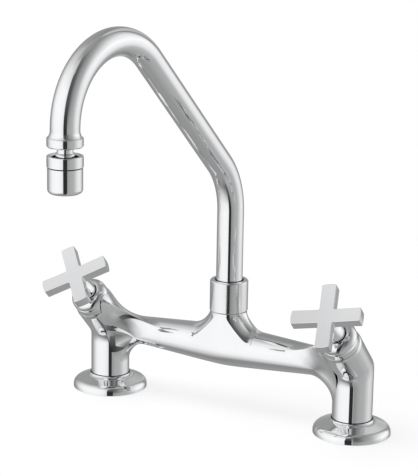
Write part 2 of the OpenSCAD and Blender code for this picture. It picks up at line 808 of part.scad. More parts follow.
module outlet_adaptor() {
    r = outlet_d / 2;
    edge = spout_nut_chamfer;
    color(CHROME) at_outlet() difference() {
        union() {
            rotate_extrude() polygon([
                [0, adaptor_foot_h], [r - edge, adaptor_foot_h], [r, adaptor_foot_h + edge],
                [r, tube_end_h - edge / 2], [r - edge / 2, tube_end_h], [0, tube_end_h]
            ]);
            post(tube_in_r - fit_gap, tube_end_h - overrun, bend_end_h - fit_gap);
        }
        post(cavity_r, adaptor_foot_h + floor_t, bend_end_h + overrun);
        post(stem_d / 2 + fit_gap, adaptor_foot_h - overrun, adaptor_foot_h + floor_t + overrun);
    }
}

// Ball stem: turns in the adaptor, and the outlet tilts on its ball
stem_top_over = 3;
ball_flat = 7.2;

module ball_stem() {
    stem_top = adaptor_foot_h + floor_t + stem_top_over;
    collar_top = ring_top_h + stem_collar_h / 2;
    groove_z = adaptor_foot_h + floor_t / 2;
    clip_z = adaptor_foot_h + floor_t + run_gap;
    flat_h = ball_h - ball_flat;
    color(CHROME) at_outlet() difference() {
        union() {
            translate([0, 0, ball_h]) sphere(ball_d / 2);
            post(stem_collar_d / 2, collar_top - stem_collar_h, collar_top);
            post(stem_d / 2, ball_h, stem_top);
        }
        ring(stem_d / 2 - seal_t / 2, stem_d / 2 + overrun, groove_z - seal_t / 4, groove_z + seal_t / 4);
        ring(stem_d / 2 - seal_t / 2, stem_d / 2 + overrun, clip_z, clip_z + clip_t);
        post(stem_bore_d / 2, ball_h - ball_d, stem_top + overrun);
        post(ball_d, ball_h - ball_d, flat_h);
    }
}

module stem_seal() {
    color(RUBBER) at_outlet()
        o_ring(stem_d / 2 - fit_gap, seal_t / 2 - fit_gap, adaptor_foot_h + floor_t / 2);
}

module stem_clip() {
    clip_z = adaptor_foot_h + floor_t + run_gap;
    color(STEEL) at_outlet()
        ring(stem_d / 2 - seal_t / 2, cavity_r - run_gap, clip_z, clip_z + clip_t);
}

// Outlet ring: holds the upper seat over the ball and screws onto the cup
lip_r = 8.3;
dish_r = 10.4;
dish_depth = 1.2;
lip_foot_h = ring_top_h - 3.4;
ring_bore_r = 9.8;
seat_gap = 0.1;

module outlet_ring() {
    r = outlet_d / 2;
    c = spout_nut_chamfer;
    color(CHROME) at_outlet() rotate_extrude() polygon(concat(
        [[ring_bore_r, ring_foot_h], [r - c / 2, ring_foot_h], [r, ring_foot_h + c / 2]],
        arc([r - c, ring_top_h - c], c, 0, 90, 4),
        [
            [dish_r, ring_top_h], [lip_r, ring_top_h - dish_depth],
            [lip_r, lip_foot_h], [ring_bore_r, lip_foot_h]
        ]
    ));
}

// Seats: nylon above and rubber below, hollowed to the ball
module ball_seat(r_out, z0, z1) {
    difference() {
        post(r_out, z0, z1);
        translate([0, 0, ball_h]) sphere(ball_d / 2 + seat_gap);
    }
}

spigot_r = 9.75;
cup_bore_r = 8.4;
spigot_top = ring_foot_h + 1.7;
seat_low_top = ball_h - 4.4;
seat_low_foot = ball_h - 7;
cup_lip_t = 1.5;
cup_mouth_r = 7.6;

module ball_seat_upper() {
    color(NYLON) at_outlet() ball_seat(ring_bore_r - fit_gap, spigot_top, lip_foot_h);
}

module ball_seat_lower() {
    color(RUBBER) at_outlet() ball_seat(cup_bore_r - fit_gap, seat_low_foot, seat_low_top);
}

// Aerator cup: the shell that holds the insert and the lower seat
module outlet_cup() {
    r = cup_d / 2;
    color(CHROME) at_outlet() rotate_extrude() polygon(concat(
        [[cup_mouth_r, cup_foot_h]],
        arc([r - cup_edge_r, cup_foot_h + cup_edge_r], cup_edge_r, 270, 360),
        [
            [r, cup_top_h], [spigot_r, cup_top_h], [spigot_r, spigot_top], [cup_bore_r, spigot_top],
            [cup_bore_r, cup_foot_h + cup_lip_t], [cup_mouth_r, cup_foot_h + cup_lip_t]
        ]
    ));
}

// Aerator insert: a plastic sleeve with a plate of holes that shows in the cup's mouth
module aerator_insert() {
    r = cup_bore_r - fit_gap;
    foot = cup_foot_h + cup_lip_t;
    wall = cup_lip_t;
    hole_r = 0.75;
    pitch = 2.5;
    color(NYLON) at_outlet() difference() {
        post(r, foot, seat_low_foot);
        post(r - wall, foot + wall, seat_low_foot + overrun);
        for (i = [-2 : 2], j = [-2 : 2])
            if (abs(i + j) <= 2)
                translate([pitch * (i + j / 2), pitch * j * sqrt(3) / 2, 0])
                    post(hole_r, foot - overrun, foot + wall + overrun);
    }
}

bridge_body();
flange(LEFT);  // flange_left
flange(RIGHT);  // flange_right
flange_gasket(LEFT);  // flange_gasket_left
flange_gasket(RIGHT);  // flange_gasket_right
inlet_shank(LEFT);  // inlet_shank_left
inlet_shank(RIGHT);  // inlet_shank_right
deck_washer(LEFT);  // deck_washer_left
deck_washer(RIGHT);  // deck_washer_right
fixing_nut(LEFT);  // fixing_nut_left
fixing_nut(RIGHT);  // fixing_nut_right
fibre_ring(LEFT);  // fibre_ring_left
fibre_ring(RIGHT);  // fibre_ring_right
headwork(LEFT);  // headwork_left
headwork(RIGHT);  // headwork_right
bonnet_cover(LEFT);  // bonnet_cover_left
bonnet_cover(RIGHT);  // bonnet_cover_right
spindle(LEFT);  // spindle_left
spindle(RIGHT);  // spindle_right
spindle_seal(LEFT);  // spindle_seal_left
spindle_seal(RIGHT);  // spindle_seal_right
spindle_clip(LEFT);  // spindle_clip_left
spindle_clip(RIGHT);  // spindle_clip_right
valve_carrier(LEFT);  // valve_carrier_left
valve_carrier(RIGHT);  // valve_carrier_right
valve_washer(LEFT);  // valve_washer_left
valve_washer(RIGHT);  // valve_washer_right
washer_screw(LEFT);  // washer_screw_left
washer_screw(RIGHT);  // washer_screw_right
cross_handle(LEFT, turn_left);  // cross_handle_left
cross_handle(RIGHT, turn_right);  // cross_handle_right
grub_screw(LEFT);  // grub_screw_left
grub_screw(RIGHT);  // grub_screw_right
spout_nut();
slip_washer();
spout_bush();
spout_seals();
spout_tube();
outlet_adaptor();
ball_stem();
stem_seal();
stem_clip();
outlet_ring();
ball_seat_upper();
ball_seat_lower();
outlet_cup();
aerator_insert();
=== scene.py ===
# %% [markdown]
# # A polished bridge tap, from the CAD frame to the photograph
#
# This scene dresses a bridge kitchen tap whose parts were drawn in CAD.
# The CAD pieces are the fixed frame: nothing in them is moved.
# Polished metal shows every flat spot in a mesh, so the pieces that the eye reads as mirrors
# are drawn again here as fine smooth surfaces. They keep the CAD's main sizes. The casting's
# blends are wider and some small edges differ. Each piece stands for the node that it covers.
# Lengths are worked out in millimetres and turned into metres as the meshes are made.

import json
import math

import bpy
import numpy as np
from mathutils import Matrix, Vector


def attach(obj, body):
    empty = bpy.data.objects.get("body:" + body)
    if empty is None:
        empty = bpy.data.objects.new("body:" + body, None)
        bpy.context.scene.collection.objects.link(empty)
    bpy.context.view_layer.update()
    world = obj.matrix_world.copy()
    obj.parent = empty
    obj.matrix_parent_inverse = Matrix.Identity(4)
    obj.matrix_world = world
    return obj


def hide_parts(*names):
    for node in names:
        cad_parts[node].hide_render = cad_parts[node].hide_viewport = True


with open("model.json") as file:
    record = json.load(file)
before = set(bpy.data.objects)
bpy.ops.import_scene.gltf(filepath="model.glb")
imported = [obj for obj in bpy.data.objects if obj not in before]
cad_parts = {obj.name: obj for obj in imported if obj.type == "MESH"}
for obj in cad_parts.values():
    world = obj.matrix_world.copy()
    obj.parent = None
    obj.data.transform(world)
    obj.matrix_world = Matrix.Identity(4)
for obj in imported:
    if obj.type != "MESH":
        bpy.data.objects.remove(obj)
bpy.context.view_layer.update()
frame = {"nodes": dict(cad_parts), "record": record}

# %% [markdown]
# ## Sizes
# The origin lies midway between the inlets on the deck, +X to the user's right, -Y towards
# the user and +Z up. Each valve has its own axis, which leans 45 degrees towards the user
# from the point where the pillar and the bridge meet.
# AROUND is the number of points round a bar, and ROUNDS the number of steps that a search takes.

# %% The sizes that the surfaces share
MM = 0.001
HALF_SPACING = 100.0
BRIDGE_H = 48.2
PILLAR_R = 14.3
NECK_R = 10.4
BELLY_R = 14.7
BELLY_ROUND = 8.0
FILLET_LOW = 16.0
FILLET_HIGH = 30.0
FILLET_SIDE = 12.0
LEAN = math.radians(45)
TURN_MEAN = 10.0
TURN_SPREAD = 4.0
BARREL_END = 33.9
COVER_R = 13.6
LIP_R = 6.0
LIP_ANGLE = math.acos(1 - (PILLAR_R - COVER_R) / LIP_R)
FOOT_H = 9.4
BOSS_R = 13.2
BOSS_RISE = 26.6
BOSS_FILLET = 18.0
HEADING = math.radians(-6.9)

TUBE_R = 9.55
TUBE_WALL = 1.2
TUBE_START = 87.6
STEM_TOP = 148.1
BEND_LOW = 53.0
LEAN_LEN = 117.0
BEND_TOP = 49.6
END_LEN = 5.0
REACH = BEND_LOW * (1 - math.cos(LEAN)) + LEAN_LEN * math.sin(LEAN) + BEND_TOP * (1 + math.cos(LEAN))
BEND_END = STEM_TOP + BEND_LOW * math.sin(LEAN) + LEAN_LEN * math.cos(LEAN) - BEND_TOP * math.sin(LEAN)
TUBE_END = BEND_END - END_LEN
ADAPTOR_FOOT = TUBE_END - 6.2
RING_TOP = ADAPTOR_FOOT - 5.3
RING_FOOT = RING_TOP - 7.3
CUP_TOP = RING_FOOT - 0.5
CUP_FOOT = CUP_TOP - 16.6
BALL_H = RING_TOP - 6.2
SEAM = 0.2

AROUND = 256
ROUNDS = 40
print("spout reach %.1f mm, outlet at z %.1f mm" % (REACH, TUBE_END))

# %% [markdown]
# ## Surfaces from grids
# Every surface is a grid of points with the exact normal at each point. The normals are
# given to the mesh, so a mirror stays smooth however few faces it has.


# %% Mesh helpers
def link(obj):
    """Puts the object in the scene."""
    bpy.context.scene.collection.objects.link(obj)


def add_mesh(name, points, normals, faces, material, body, node):
    """One smooth mesh from points (mm), their normals and faces of four corners.

    It rides on its body and stands for its CAD node.
    """
    mesh = bpy.data.meshes.new(name)
    pts = np.asarray(points, np.float32) * MM
    quads = np.asarray(faces, np.int32)
    mesh.vertices.add(len(pts))
    mesh.vertices.foreach_set("co", pts.ravel())
    mesh.loops.add(quads.size)
    mesh.loops.foreach_set("vertex_index", quads.ravel())
    mesh.polygons.add(len(quads))
    mesh.polygons.foreach_set("loop_start", np.arange(0, quads.size, 4, dtype=np.int32))
    mesh.update(calc_edges=True)
    mesh.validate()
    mesh.polygons.foreach_set("use_smooth", np.ones(len(mesh.polygons), bool))
    mesh.normals_split_custom_set_from_vertices(np.asarray(normals, np.float32).tolist())
    mesh.materials.append(material)
    obj = bpy.data.objects.new(name, mesh)
    link(obj)
    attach(obj, body)
    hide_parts(node)


def grid_faces(rows, cols):
    """Faces of a grid of rows by cols points, whose last column joins its first."""
    r, c = np.arange(rows - 1)[:, None], np.arange(cols)[None, :]
    a, b = r * cols + c, r * cols + (c + 1) % cols
    return np.stack([a, b, b + cols, a + cols], -1).reshape(-1, 4)


def join(patches):
    """Several (points, normals, faces) patches as one."""
    points, normals, faces, offset = [], [], [], 0
    for p, n, f in patches:
        points.append(p.reshape(-1, 3))
        normals.append(n.reshape(-1, 3))
        faces.append(f + offset)
        offset += len(points[-1])
    return np.vstack(points), np.vstack(normals), np.vstack(faces)


def unit(v):
    """The vectors, each scaled to length 1."""
    return v / np.linalg.norm(v, axis=-1, keepdims=True)


def grid_patch(points, normals):
    """A patch from a grid of points with its normals, its faces turned to agree with them."""
    rows, cols = points.shape[:2]
    faces = grid_faces(rows, cols)
    p = points.reshape(-1, 3)
    n = normals.reshape(-1, 3)
    a, b, c, d = (p[faces[:, i]] for i in range(4))
    turn = np.cross(c - a, d - b)
    if np.sum(turn * n[faces[:, 0]]) < 0:
        faces = faces[:, ::-1]
    return p, n, faces


# %% [markdown]
# ## Profiles for turned pieces
# A turned piece starts as a line of corners in (radius, height). Each corner has a small
# rounding radius, because a real edge catches light in a thin bright line.
# The rounded line is then swept round its axis.


# %% Rounded profiles
def rounded(corners, steps=6, closed=True):
    """Points and outward normals of a polyline whose corners (r, z, radius) are rounded.

    The corner's arc has its centre on the bisector and touches both sides. The line runs
    clockwise round the metal, so the outward normal is the left-hand side of its direction.
    """
    pts = np.array([c[:2] for c in corners], float)
    rad = [c[2] for c in corners]
    out_p, out_n = [], []
    count = len(pts)
    for i in range(count):
        if not closed and i in (0, count - 1):
            j = (i, i + 1) if i == 0 else (i - 1, i)
            t = unit(pts[j[1]] - pts[j[0]])
            out_p.append(pts[i])
            out_n.append([-t[1], t[0]])
            continue
        a, b, c = pts[i - 1], pts[i], pts[(i + 1) % count]
        t1, t2 = unit(b - a), unit(c - b)
        turn = math.atan2(t1[0] * t2[1] - t1[1] * t2[0], t1 @ t2)
        reach = rad[i] * math.tan(abs(turn) / 2)
        side = math.copysign(1, turn)
        centre = b - t1 * reach + side * rad[i] * np.array([-t1[1], t1[0]])
        for k in range(steps + 1):
            w = turn * k / steps
            n0 = np.array([-t1[1], t1[0]])
            cos, sin = math.cos(w), math.sin(w)
            n = np.array([n0[0] * cos - n0[1] * sin, n0[0] * sin + n0[1] * cos])
            out_p.append(centre - side * rad[i] * n)
            out_n.append(n)
    return np.array(out_p), np.array(out_n)


def swept(p, n, sides):
    """A patch: a line of points (radius, height) with its normals, swept round the Z axis."""
    a = np.linspace(0, 2 * math.pi, sides, endpoint=False)
    ca, sa = np.cos(a), np.sin(a)
    points = np.stack([p[:, :1] * ca, p[:, :1] * sa, np.repeat(p[:, 1:], sides, 1)], -1)
    normals = np.stack([n[:, :1] * ca, n[:, :1] * sa, np.repeat(n[:, 1:], sides, 1)], -1)
    return grid_patch(points, normals)


def turned(corners, sides=192, steps=6, closed=True):
    """A patch: the rounded profile swept round the Z axis."""
    p, n = rounded(corners, steps, closed)
    if closed:
        p, n = np.vstack([p, p[:1]]), np.vstack([n, n[:1]])
    return swept(p, n, sides)


def placed(patch, matrix):
    """The patch after a rigid move."""
    m = np.array(matrix)
    p, n, f = patch
    return p @ m[:3, :3].T + m[:3, 3], n @ m[:3, :3].T, f


def at_inlet(side):
    """From a turned piece's own place to the inlet on this side."""
    return Matrix.Translation((side * HALF_SPACING, 0, 0))


def at_valve(side):
    """To the valve on this side: up to the bridge's axis, then leaning to the user."""
    return Matrix.Translation((side * HALF_SPACING, 0, BRIDGE_H)) @ Matrix.Rotation(LEAN, 4, "X")


def at_outlet():
    """To the outlet's upright axis."""
    return Matrix.Translation((REACH * math.sin(HEADING), -REACH * math.cos(HEADING), 0))


SIDES = {"left": -1, "right": 1}

# %% [markdown]
# ## Materials
# Chrome is a mirror with a faint life of its own: polishing leaves hair-fine swirls, and
# handling leaves a trace of haze. Those effects are node groups that only give out values.
# A second group marks the inside of a narrow gap, which bare plate would keep too bright; there the colour
# is painted near black as painted shade.


# %% Shared shader groups
def new_group(name, outputs, inputs):
    """An empty node group with its sockets, and the nodes for its inputs and outputs."""
    group = bpy.data.node_groups.new(name, "ShaderNodeTree")
    for label, kind, value in inputs:
        socket = group.interface.new_socket(label, in_out="INPUT", socket_type=kind)
        socket.default_value = value
    for label, kind in outputs:
        group.interface.new_socket(label, in_out="OUTPUT", socket_type=kind)
    return group, group.nodes.new("NodeGroupInput"), group.nodes.new("NodeGroupOutput")


def feed(tree, socket, value):
    """Gives a socket a value, or the output of another node."""
    if isinstance(value, bpy.types.NodeSocket):
        tree.links.new(value, socket)
    else:
        socket.default_value = value


def math_node(tree, kind, *values):
    """The output of a math node whose inputs are numbers or other nodes' outputs."""
    node = tree.nodes.new("ShaderNodeMath")
    node.operation = kind
    for socket, value in zip(node.inputs, values):
        feed(tree, socket, value)
    return node.outputs["Value"]


def color_mix(tree, factor, a, b, blend="MIX"):
    """The output of a mix of two colours, each given or another node's output."""
    node = tree.nodes.new("ShaderNodeMix")
    node.data_type = "RGBA"
    node.blend_type = blend
    for label, value in (("Factor", factor), ("A", a), ("B", b)):
        feed(tree, node.inputs[label], value)
    return node.outputs["Result"]


def new_material(name):
    """A material, with its node tree and its own shader."""
    mat = bpy.data.materials.new(name)
    mat.use_nodes = True
    return mat, mat.node_tree, mat.node_tree.nodes["Principled BSDF"]


def polish_group():
    """Roughness and tint of polished plate, from two sizes of noise in object coordinates."""
    group, inp, out = new_group(
        "polished_plate",
        [("Roughness", "NodeSocketFloat"), ("Tint", "NodeSocketColor"), ("Normal", "NodeSocketVector")],
        [("Base", "NodeSocketFloat", 0.03), ("Haze", "NodeSocketFloat", 0.02)],
    )
    nodes, links = group.nodes, group.links
    coord = nodes.new("ShaderNodeTexCoord")
    haze = nodes.new("ShaderNodeTexNoise")
    haze.inputs["Scale"].default_value = 38.0
    haze.inputs["Detail"].default_value = 3.0
    links.new(coord.outputs["Object"], haze.inputs["Vector"])
    ramp = nodes.new("ShaderNodeMapRange")
    ramp.inputs["From Min"].default_value = 0.35
    ramp.inputs["From Max"].default_value = 0.75
    links.new(haze.outputs["Fac"], ramp.inputs["Value"])
    haze_share = ramp.outputs["Result"]
    rough = math_node(group, "MULTIPLY_ADD", haze_share, inp.outputs["Haze"], inp.outputs["Base"])
    links.new(rough, out.inputs["Roughness"])
    tint = color_mix(group, haze_share, (0.90, 0.905, 0.915, 1), (0.87, 0.875, 0.885, 1))
    links.new(tint, out.inputs["Tint"])
    fine = nodes.new("ShaderNodeTexNoise")
    fine.inputs["Scale"].default_value = 26.0
    fine.inputs["Detail"].default_value = 1.0
    links.new(coord.outputs["Object"], fine.inputs["Vector"])
    bump = nodes.new("ShaderNodeBump")
    bump.inputs["Strength"].default_value = 0.02
    bump.inputs["Distance"].default_value = 0.0004
    links.new(fine.outputs["Fac"], bump.inputs["Height"])
    links.new(bump.outputs["Normal"], out.inputs["Normal"])
    return group


POLISH = polish_group()


def metal(name, color, rough, haze):
    """A metal whose roughness and tint come from the polish group. No color means plain plate."""
    mat, tree, shader = new_material(name)
    links = tree.links
    shader.inputs["Metallic"].default_value = 1.0
    group = tree.nodes.new("ShaderNodeGroup")
    group.node_tree = POLISH
    group.inputs["Base"].default_value = rough
    group.inputs["Haze"].default_value = haze
    links.new(group.outputs["Roughness"], shader.inputs["Roughness"])
    links.new(group.outputs["Normal"], shader.inputs["Normal"])
    tint = group.outputs["Tint"]
    if color is not None:
        tint = color_mix(tree, 1.0, tint, (*color, 1), "MULTIPLY")
    links.new(tint, shader.inputs["Base Color"])
    return mat


def moulded(name, low, high, rough, grain):
    """Rubber, nylon or fibre: a dull surface with a faint moulded grain."""
    mat, tree, shader = new_material(name)
    nodes, links = tree.nodes, tree.links
    coord = nodes.new("ShaderNodeTexCoord")
    noise = nodes.new("ShaderNodeTexNoise")
    noise.inputs["Scale"].default_value = grain
    noise.inputs["Detail"].default_value = 4.0
    links.new(coord.outputs["Object"], noise.inputs["Vector"])
    tone = color_mix(tree, noise.outputs["Fac"], (*low, 1), (*high, 1))
    links.new(tone, shader.inputs["Base Color"])
    shader.inputs["Roughness"].default_value = rough
    bump = nodes.new("ShaderNodeBump")
    bump.inputs["Strength"].default_value = 0.15
    bump.inputs["Distance"].default_value = 0.0002
    links.new(noise.outputs["Fac"], bump.inputs["Height"])
    links.new(bump.outputs["Normal"], shader.inputs["Normal"])
    return mat


def shadow_group():
    """A mask for painted shade inside a turned piece: nearer its axis than Radius and above Height."""
    group, inp, out = new_group(
        "inside_shadow",
        [("Shade", "NodeSocketFloat")],
        [
            ("Axis", "NodeSocketVector", (0, 0, 0)),
            ("Radius", "NodeSocketFloat", 0.01),
            ("Height", "NodeSocketFloat", 0.0),
        ],
    )
    nodes, links = group.nodes, group.links
    coord = nodes.new("ShaderNodeTexCoord")
    split = nodes.new("ShaderNodeSeparateXYZ")
    links.new(coord.outputs["Object"], split.inputs["Vector"])
    above = math_node(group, "GREATER_THAN", split.outputs["Z"], inp.outputs["Height"])
    away = nodes.new("ShaderNodeVectorMath")
    away.operation = "SUBTRACT"
    links.new(coord.outputs["Object"], away.inputs[0])
    links.new(inp.outputs["Axis"], away.inputs[1])
    flat = nodes.new("ShaderNodeVectorMath")
    flat.operation = "MULTIPLY"
    flat.inputs[1].default_value = (1, 1, 0)
    links.new(away.outputs["Vector"], flat.inputs[0])
    radius = nodes.new("ShaderNodeVectorMath")
    radius.operation = "LENGTH"
    links.new(flat.outputs["Vector"], radius.inputs[0])
    near = math_node(group, "LESS_THAN", radius.outputs["Value"], inp.outputs["Radius"])
    links.new(math_node(group, "MULTIPLY", above, near), out.inputs["Shade"])
    return group


SHADOW = shadow_group()
# Near black, painted into the colour of each gap as painted shade.
GAP_PAINTED_SHADE = (0.015, 0.015, 0.015, 1)


def shaded(mat, radius, height, axis=(0, 0, 0)):
    """The metal with painted shade, near black, in its gap round the inner piece. Radius and height are in
    mm.
    """
    tree = mat.node_tree
    color = tree.nodes["Principled BSDF"].inputs["Base Color"]
    shade = tree.nodes.new("ShaderNodeGroup")
    shade.node_tree = SHADOW
    shade.inputs["Axis"].default_value = axis
    shade.inputs["Radius"].default_value = radius * MM
    shade.inputs["Height"].default_value = height * MM
    bare = color.links[0].from_socket
    tree.links.new(color_mix(tree, shade.outputs["Shade"], bare, GAP_PAINTED_SHADE), color)
    return mat


def plate(name):
    """Chrome plate polished to a mirror."""
    return metal(name, None, PLATE_ROUGH, PLATE_HAZE)


PLATE_ROUGH = 0.03
PLATE_HAZE = 0.02
# Each gap is painted near black as painted shade inside this radius and above this height, in mm.
NUT_GAP = (10.66, 90)
RING_GAP = (8.7, RING_FOOT - 0.1)
CUP_GAP = (11.2, CUP_TOP - 0.3)
FOOT_GAP = (15.15, 11.3)

chrome = plate("polished_chrome")
# The nut's mouth, the ring's bore and the cup's top face have painted shade, near black, in their colour.
satin = shaded(metal("satin_chrome_painted_shade", (0.97, 0.97, 0.97), 0.14, 0.04), *NUT_GAP)
outlet_axis = (REACH * MM * math.sin(HEADING), -REACH * MM * math.cos(HEADING), 0)
ring_chrome_painted_shade = shaded(plate("ring_chrome_painted_shade"), *RING_GAP, outlet_axis)
cup_chrome_painted_shade = shaded(plate("cup_chrome_painted_shade"), *CUP_GAP, outlet_axis)
brass = metal("machined_brass", (0.92, 0.72, 0.38), 0.22, 0.08)
steel = metal("stainless_steel", (0.72, 0.72, 0.73), 0.25, 0.08)
rubber = moulded("black_rubber", (0.012, 0.012, 0.013), (0.03, 0.03, 0.032), 0.6, 900.0)
nylon = moulded("white_nylon", (0.78, 0.78, 0.76), (0.86, 0.86, 0.84), 0.45, 500.0)
fibre = moulded("red_fibre", (0.32, 0.06, 0.03), (0.48, 0.12, 0.07), 0.75, 1200.0)
MATERIALS = {
    "polished_chrome": chrome, "machined_brass": brass, "stainless_steel": steel,
    "black_rubber": rubber, "white_nylon": nylon, "red_fibre": fibre,
}
for part in frame["record"]["subparts"]:
    node = frame["nodes"][part["node"]]
    node.data.materials.clear()
    node.data.materials.append(MATERIALS[part["material_slot"]])
for name in ("inlet_shank", "deck_washer", "fixing_nut", "flange_gasket"):
    for side in ("left", "right"):
        frame["nodes"][f"{name}_{side}"].visible_glossy = False
print("materials:", ", ".join(MATERIALS))

# %% [markdown]
# ## The body casting
# The bridge runs between two bent pillars. A ball that rolls in the corner between two round
# bars draws the fillet between them: its centre keeps the same distance from both bars, and
# the fillet is the arc between its two touching points.


# %% The bent pillars
def elbow_patch(side):
    """Pillar and barrel as one bent tube. Every line along it turns 45 degrees on an arc.

    The bend plane halves the angle, so a line at height offset y meets it at z = y tan(22.5).
    The arc's radius grows from the back of the bend to its front, as on a cast elbow, and the
    barrel's mouth is rolled in to the width of the cover.
    """
    phi = np.linspace(0, 2 * math.pi, AROUND, endpoint=False)
    c, s = np.cos(phi), np.sin(phi)
    turn, turn_rate = TURN_MEAN - TURN_SPREAD * s, -TURN_SPREAD * c
    reach, reach_rate = turn * math.tan(LEAN / 2), turn_rate * math.tan(LEAN / 2)
    x, y = PILLAR_R * c, PILLAR_R * s
    meet = np.stack([x, y, y * math.tan(LEAN / 2)], -1)
    up, along = np.array([0, 0, 1.0]), np.array([0, -math.sin(LEAN), math.cos(LEAN)])
    n_up = np.stack([c, s, 0 * c], -1)
    n_along = np.stack([c, s * math.cos(LEAN), s * math.sin(LEAN)], -1)
    rows, normals = [], []
    foot = FOOT_H - BRIDGE_H
    for t in np.linspace(0, 1, 10):
        rows.append(np.stack([x, y, foot + (meet[:, 2] - reach - foot) * t], -1))
        normals.append(n_up)
    ellipse = np.stack([-PILLAR_R * s, PILLAR_R * c, PILLAR_R * c * math.tan(LEAN / 2)], -1)
    steps = 16
    for k in range(1, steps):
        b = LEAN * k / steps
        arc = np.array([0, math.cos(b) - 1, math.sin(b)])
        rows.append(meet - reach[:, None] * up + turn[:, None] * arc)
        across = ellipse - reach_rate[:, None] * up + turn_rate[:, None] * arc
        normals.append(unit(np.cross(across, np.array([0, -math.sin(b), math.cos(b)]))))
    start = meet + reach[:, None] * along
    lip_start = BARREL_END - LIP_R * math.sin(LIP_ANGLE)
    for t in np.linspace(0, 1, 10):
        rows.append(start + along * ((lip_start - start @ along) * t)[:, None])
        normals.append(n_along)
    for t in np.linspace(0, LIP_ANGLE, 9)[1:]:
        radius = PILLAR_R - LIP_R + LIP_R * math.cos(t)
        rows.append(n_along * radius + along * (lip_start + LIP_R * math.sin(t)))
        normals.append(n_along * math.cos(t) + along * math.sin(t))
    points, nrm = np.array(rows), np.array(normals)
    points = points + np.array([side * HALF_SPACING, 0, BRIDGE_H])
    return grid_patch(points, nrm)


def bridge_radius(x):
    """Two cones with a rounded belly between them."""
    end = HALF_SPACING - PILLAR_R - FILLET_LOW
    k = (BELLY_R - NECK_R) / (math.hypot(end, BELLY_ROUND) - BELLY_ROUND)
    return BELLY_R - k * (np.hypot(x, BELLY_ROUND) - BELLY_ROUND)


def bridge_patch():
    """The bridge: its radius turned about the X axis."""
    end = HALF_SPACING - 4
    x = np.linspace(-end, end, 241)
    r = bridge_radius(x)
    slope = np.gradient(r, x)
    x, r, slope = (np.repeat(v[:, None], AROUND, 1) for v in (x, r, slope))
    a = np.linspace(0, 2 * math.pi, AROUND, endpoint=False)
    points = np.stack([x, r * np.cos(a), r * np.sin(a) + BRIDGE_H], -1)
    normals = unit(np.stack([-slope, np.cos(a) + 0 * r, np.sin(a) + 0 * r], -1))
    return grid_patch(points, normals)


def rolled(centre, radius, u, v, t):
    """Arc of the rolling ball from touching direction u to v, at the shares t of its turn.

    The ball changes size as it rolls, so the normals come from the surface itself, except at
    the two touching lines, where they are those of the bars.
    """
    w = np.arccos(np.clip(np.sum(u * v, -1), -1, 1))[None, :, None]
    t = t[:, :, None]
    d = (np.sin((1 - t) * w) * u[None] + np.sin(t * w) * v[None]) / np.sin(w)
    points = centre[None] + radius[None, :, None] * d
    around = np.roll(points, -1, 1) - np.roll(points, 1, 1)
    normals = np.cross(around, np.gradient(points, axis=0))
    normals *= np.sign(-np.sum(normals * d, -1, keepdims=True))
    normals = np.where(t < 0.03, -u[None], np.where(t > 0.999, -v[None], normals))
    normals = unit(normals)
    return points, normals


def arm_patch(side):
    """Fillet between the bridge and a bent pillar, wider at the top and at the front and back.

    In the crook of the bend the ball leaves the barrel for the pillar. It turns there without
    moving, and extra columns fill the piece of ball between its two touching points.
    The ball rolls as if the barrel had no end, so at the top the patch runs on past its mouth.
    """
    columns, crook_columns, last_columns = 144, 24, 111
    crook = math.pi + LEAN / 2
    before = np.linspace(0, crook, columns, endpoint=False)
    after = np.linspace(crook, 2 * math.pi, last_columns + 2)[1:-1]
    a = np.concatenate([before, np.full(crook_columns, crook), after])
    share = [np.zeros(columns), np.linspace(0, 1, crook_columns), np.ones(last_columns)]
    share = np.concatenate(share)[:, None]
    mean, swing = (FILLET_LOW + FILLET_HIGH) / 2, (FILLET_HIGH - FILLET_LOW) / 2
    r = mean + swing * np.sin(a) + FILLET_SIDE * np.cos(a) ** 2
    axis = np.array([-math.sin(LEAN), math.cos(LEAN)])
    first_guess = 30.0
    touch = np.full(len(a), first_guess)
    for _ in range(ROUNDS):
        neck = bridge_radius(HALF_SPACING - touch)
        cone = neck - bridge_radius(HALF_SPACING - touch + 1)
        y, z = (neck + r) * np.cos(a), (neck + r) * np.sin(a)
        yz = np.stack([y, z], -1)
        low = np.stack([0 * y, np.minimum(z, 0)], -1)
        high = np.maximum(yz @ axis, 0)[:, None] * axis
        gap = np.minimum(np.linalg.norm(yz - low, axis=1), np.linalg.norm(yz - high, axis=1))
        x = np.sqrt((PILLAR_R + r) ** 2 - gap ** 2)
        touch = x + cone * r
    centre = np.stack([x, y, z], -1)
    u = unit(np.stack([cone, -np.cos(a), -np.sin(a)], -1))
    to_low = unit(np.stack([0 * a, low[:, 0], low[:, 1]], -1) - centre)
    to_high = unit(np.stack([0 * a, high[:, 0], high[:, 1]], -1) - centre)
    nearer = (np.linalg.norm(yz - low, axis=1) < np.linalg.norm(yz - high, axis=1))[:, None]
    turning = np.abs(a - crook)[:, None] < 1e-9
    v = unit(np.where(turning, (1 - share) * to_high + share * to_low, np.where(nearer, to_low, to_high)))
    t = np.repeat(np.linspace(0, 1, 41)[:, None], len(a), 1)
    points, normals = rolled(centre, r, u, v, t)
    flip = np.array([-side, 1, 1])
    return grid_patch(points * flip + np.array([side * HALF_SPACING, 0, BRIDGE_H]), normals * flip)


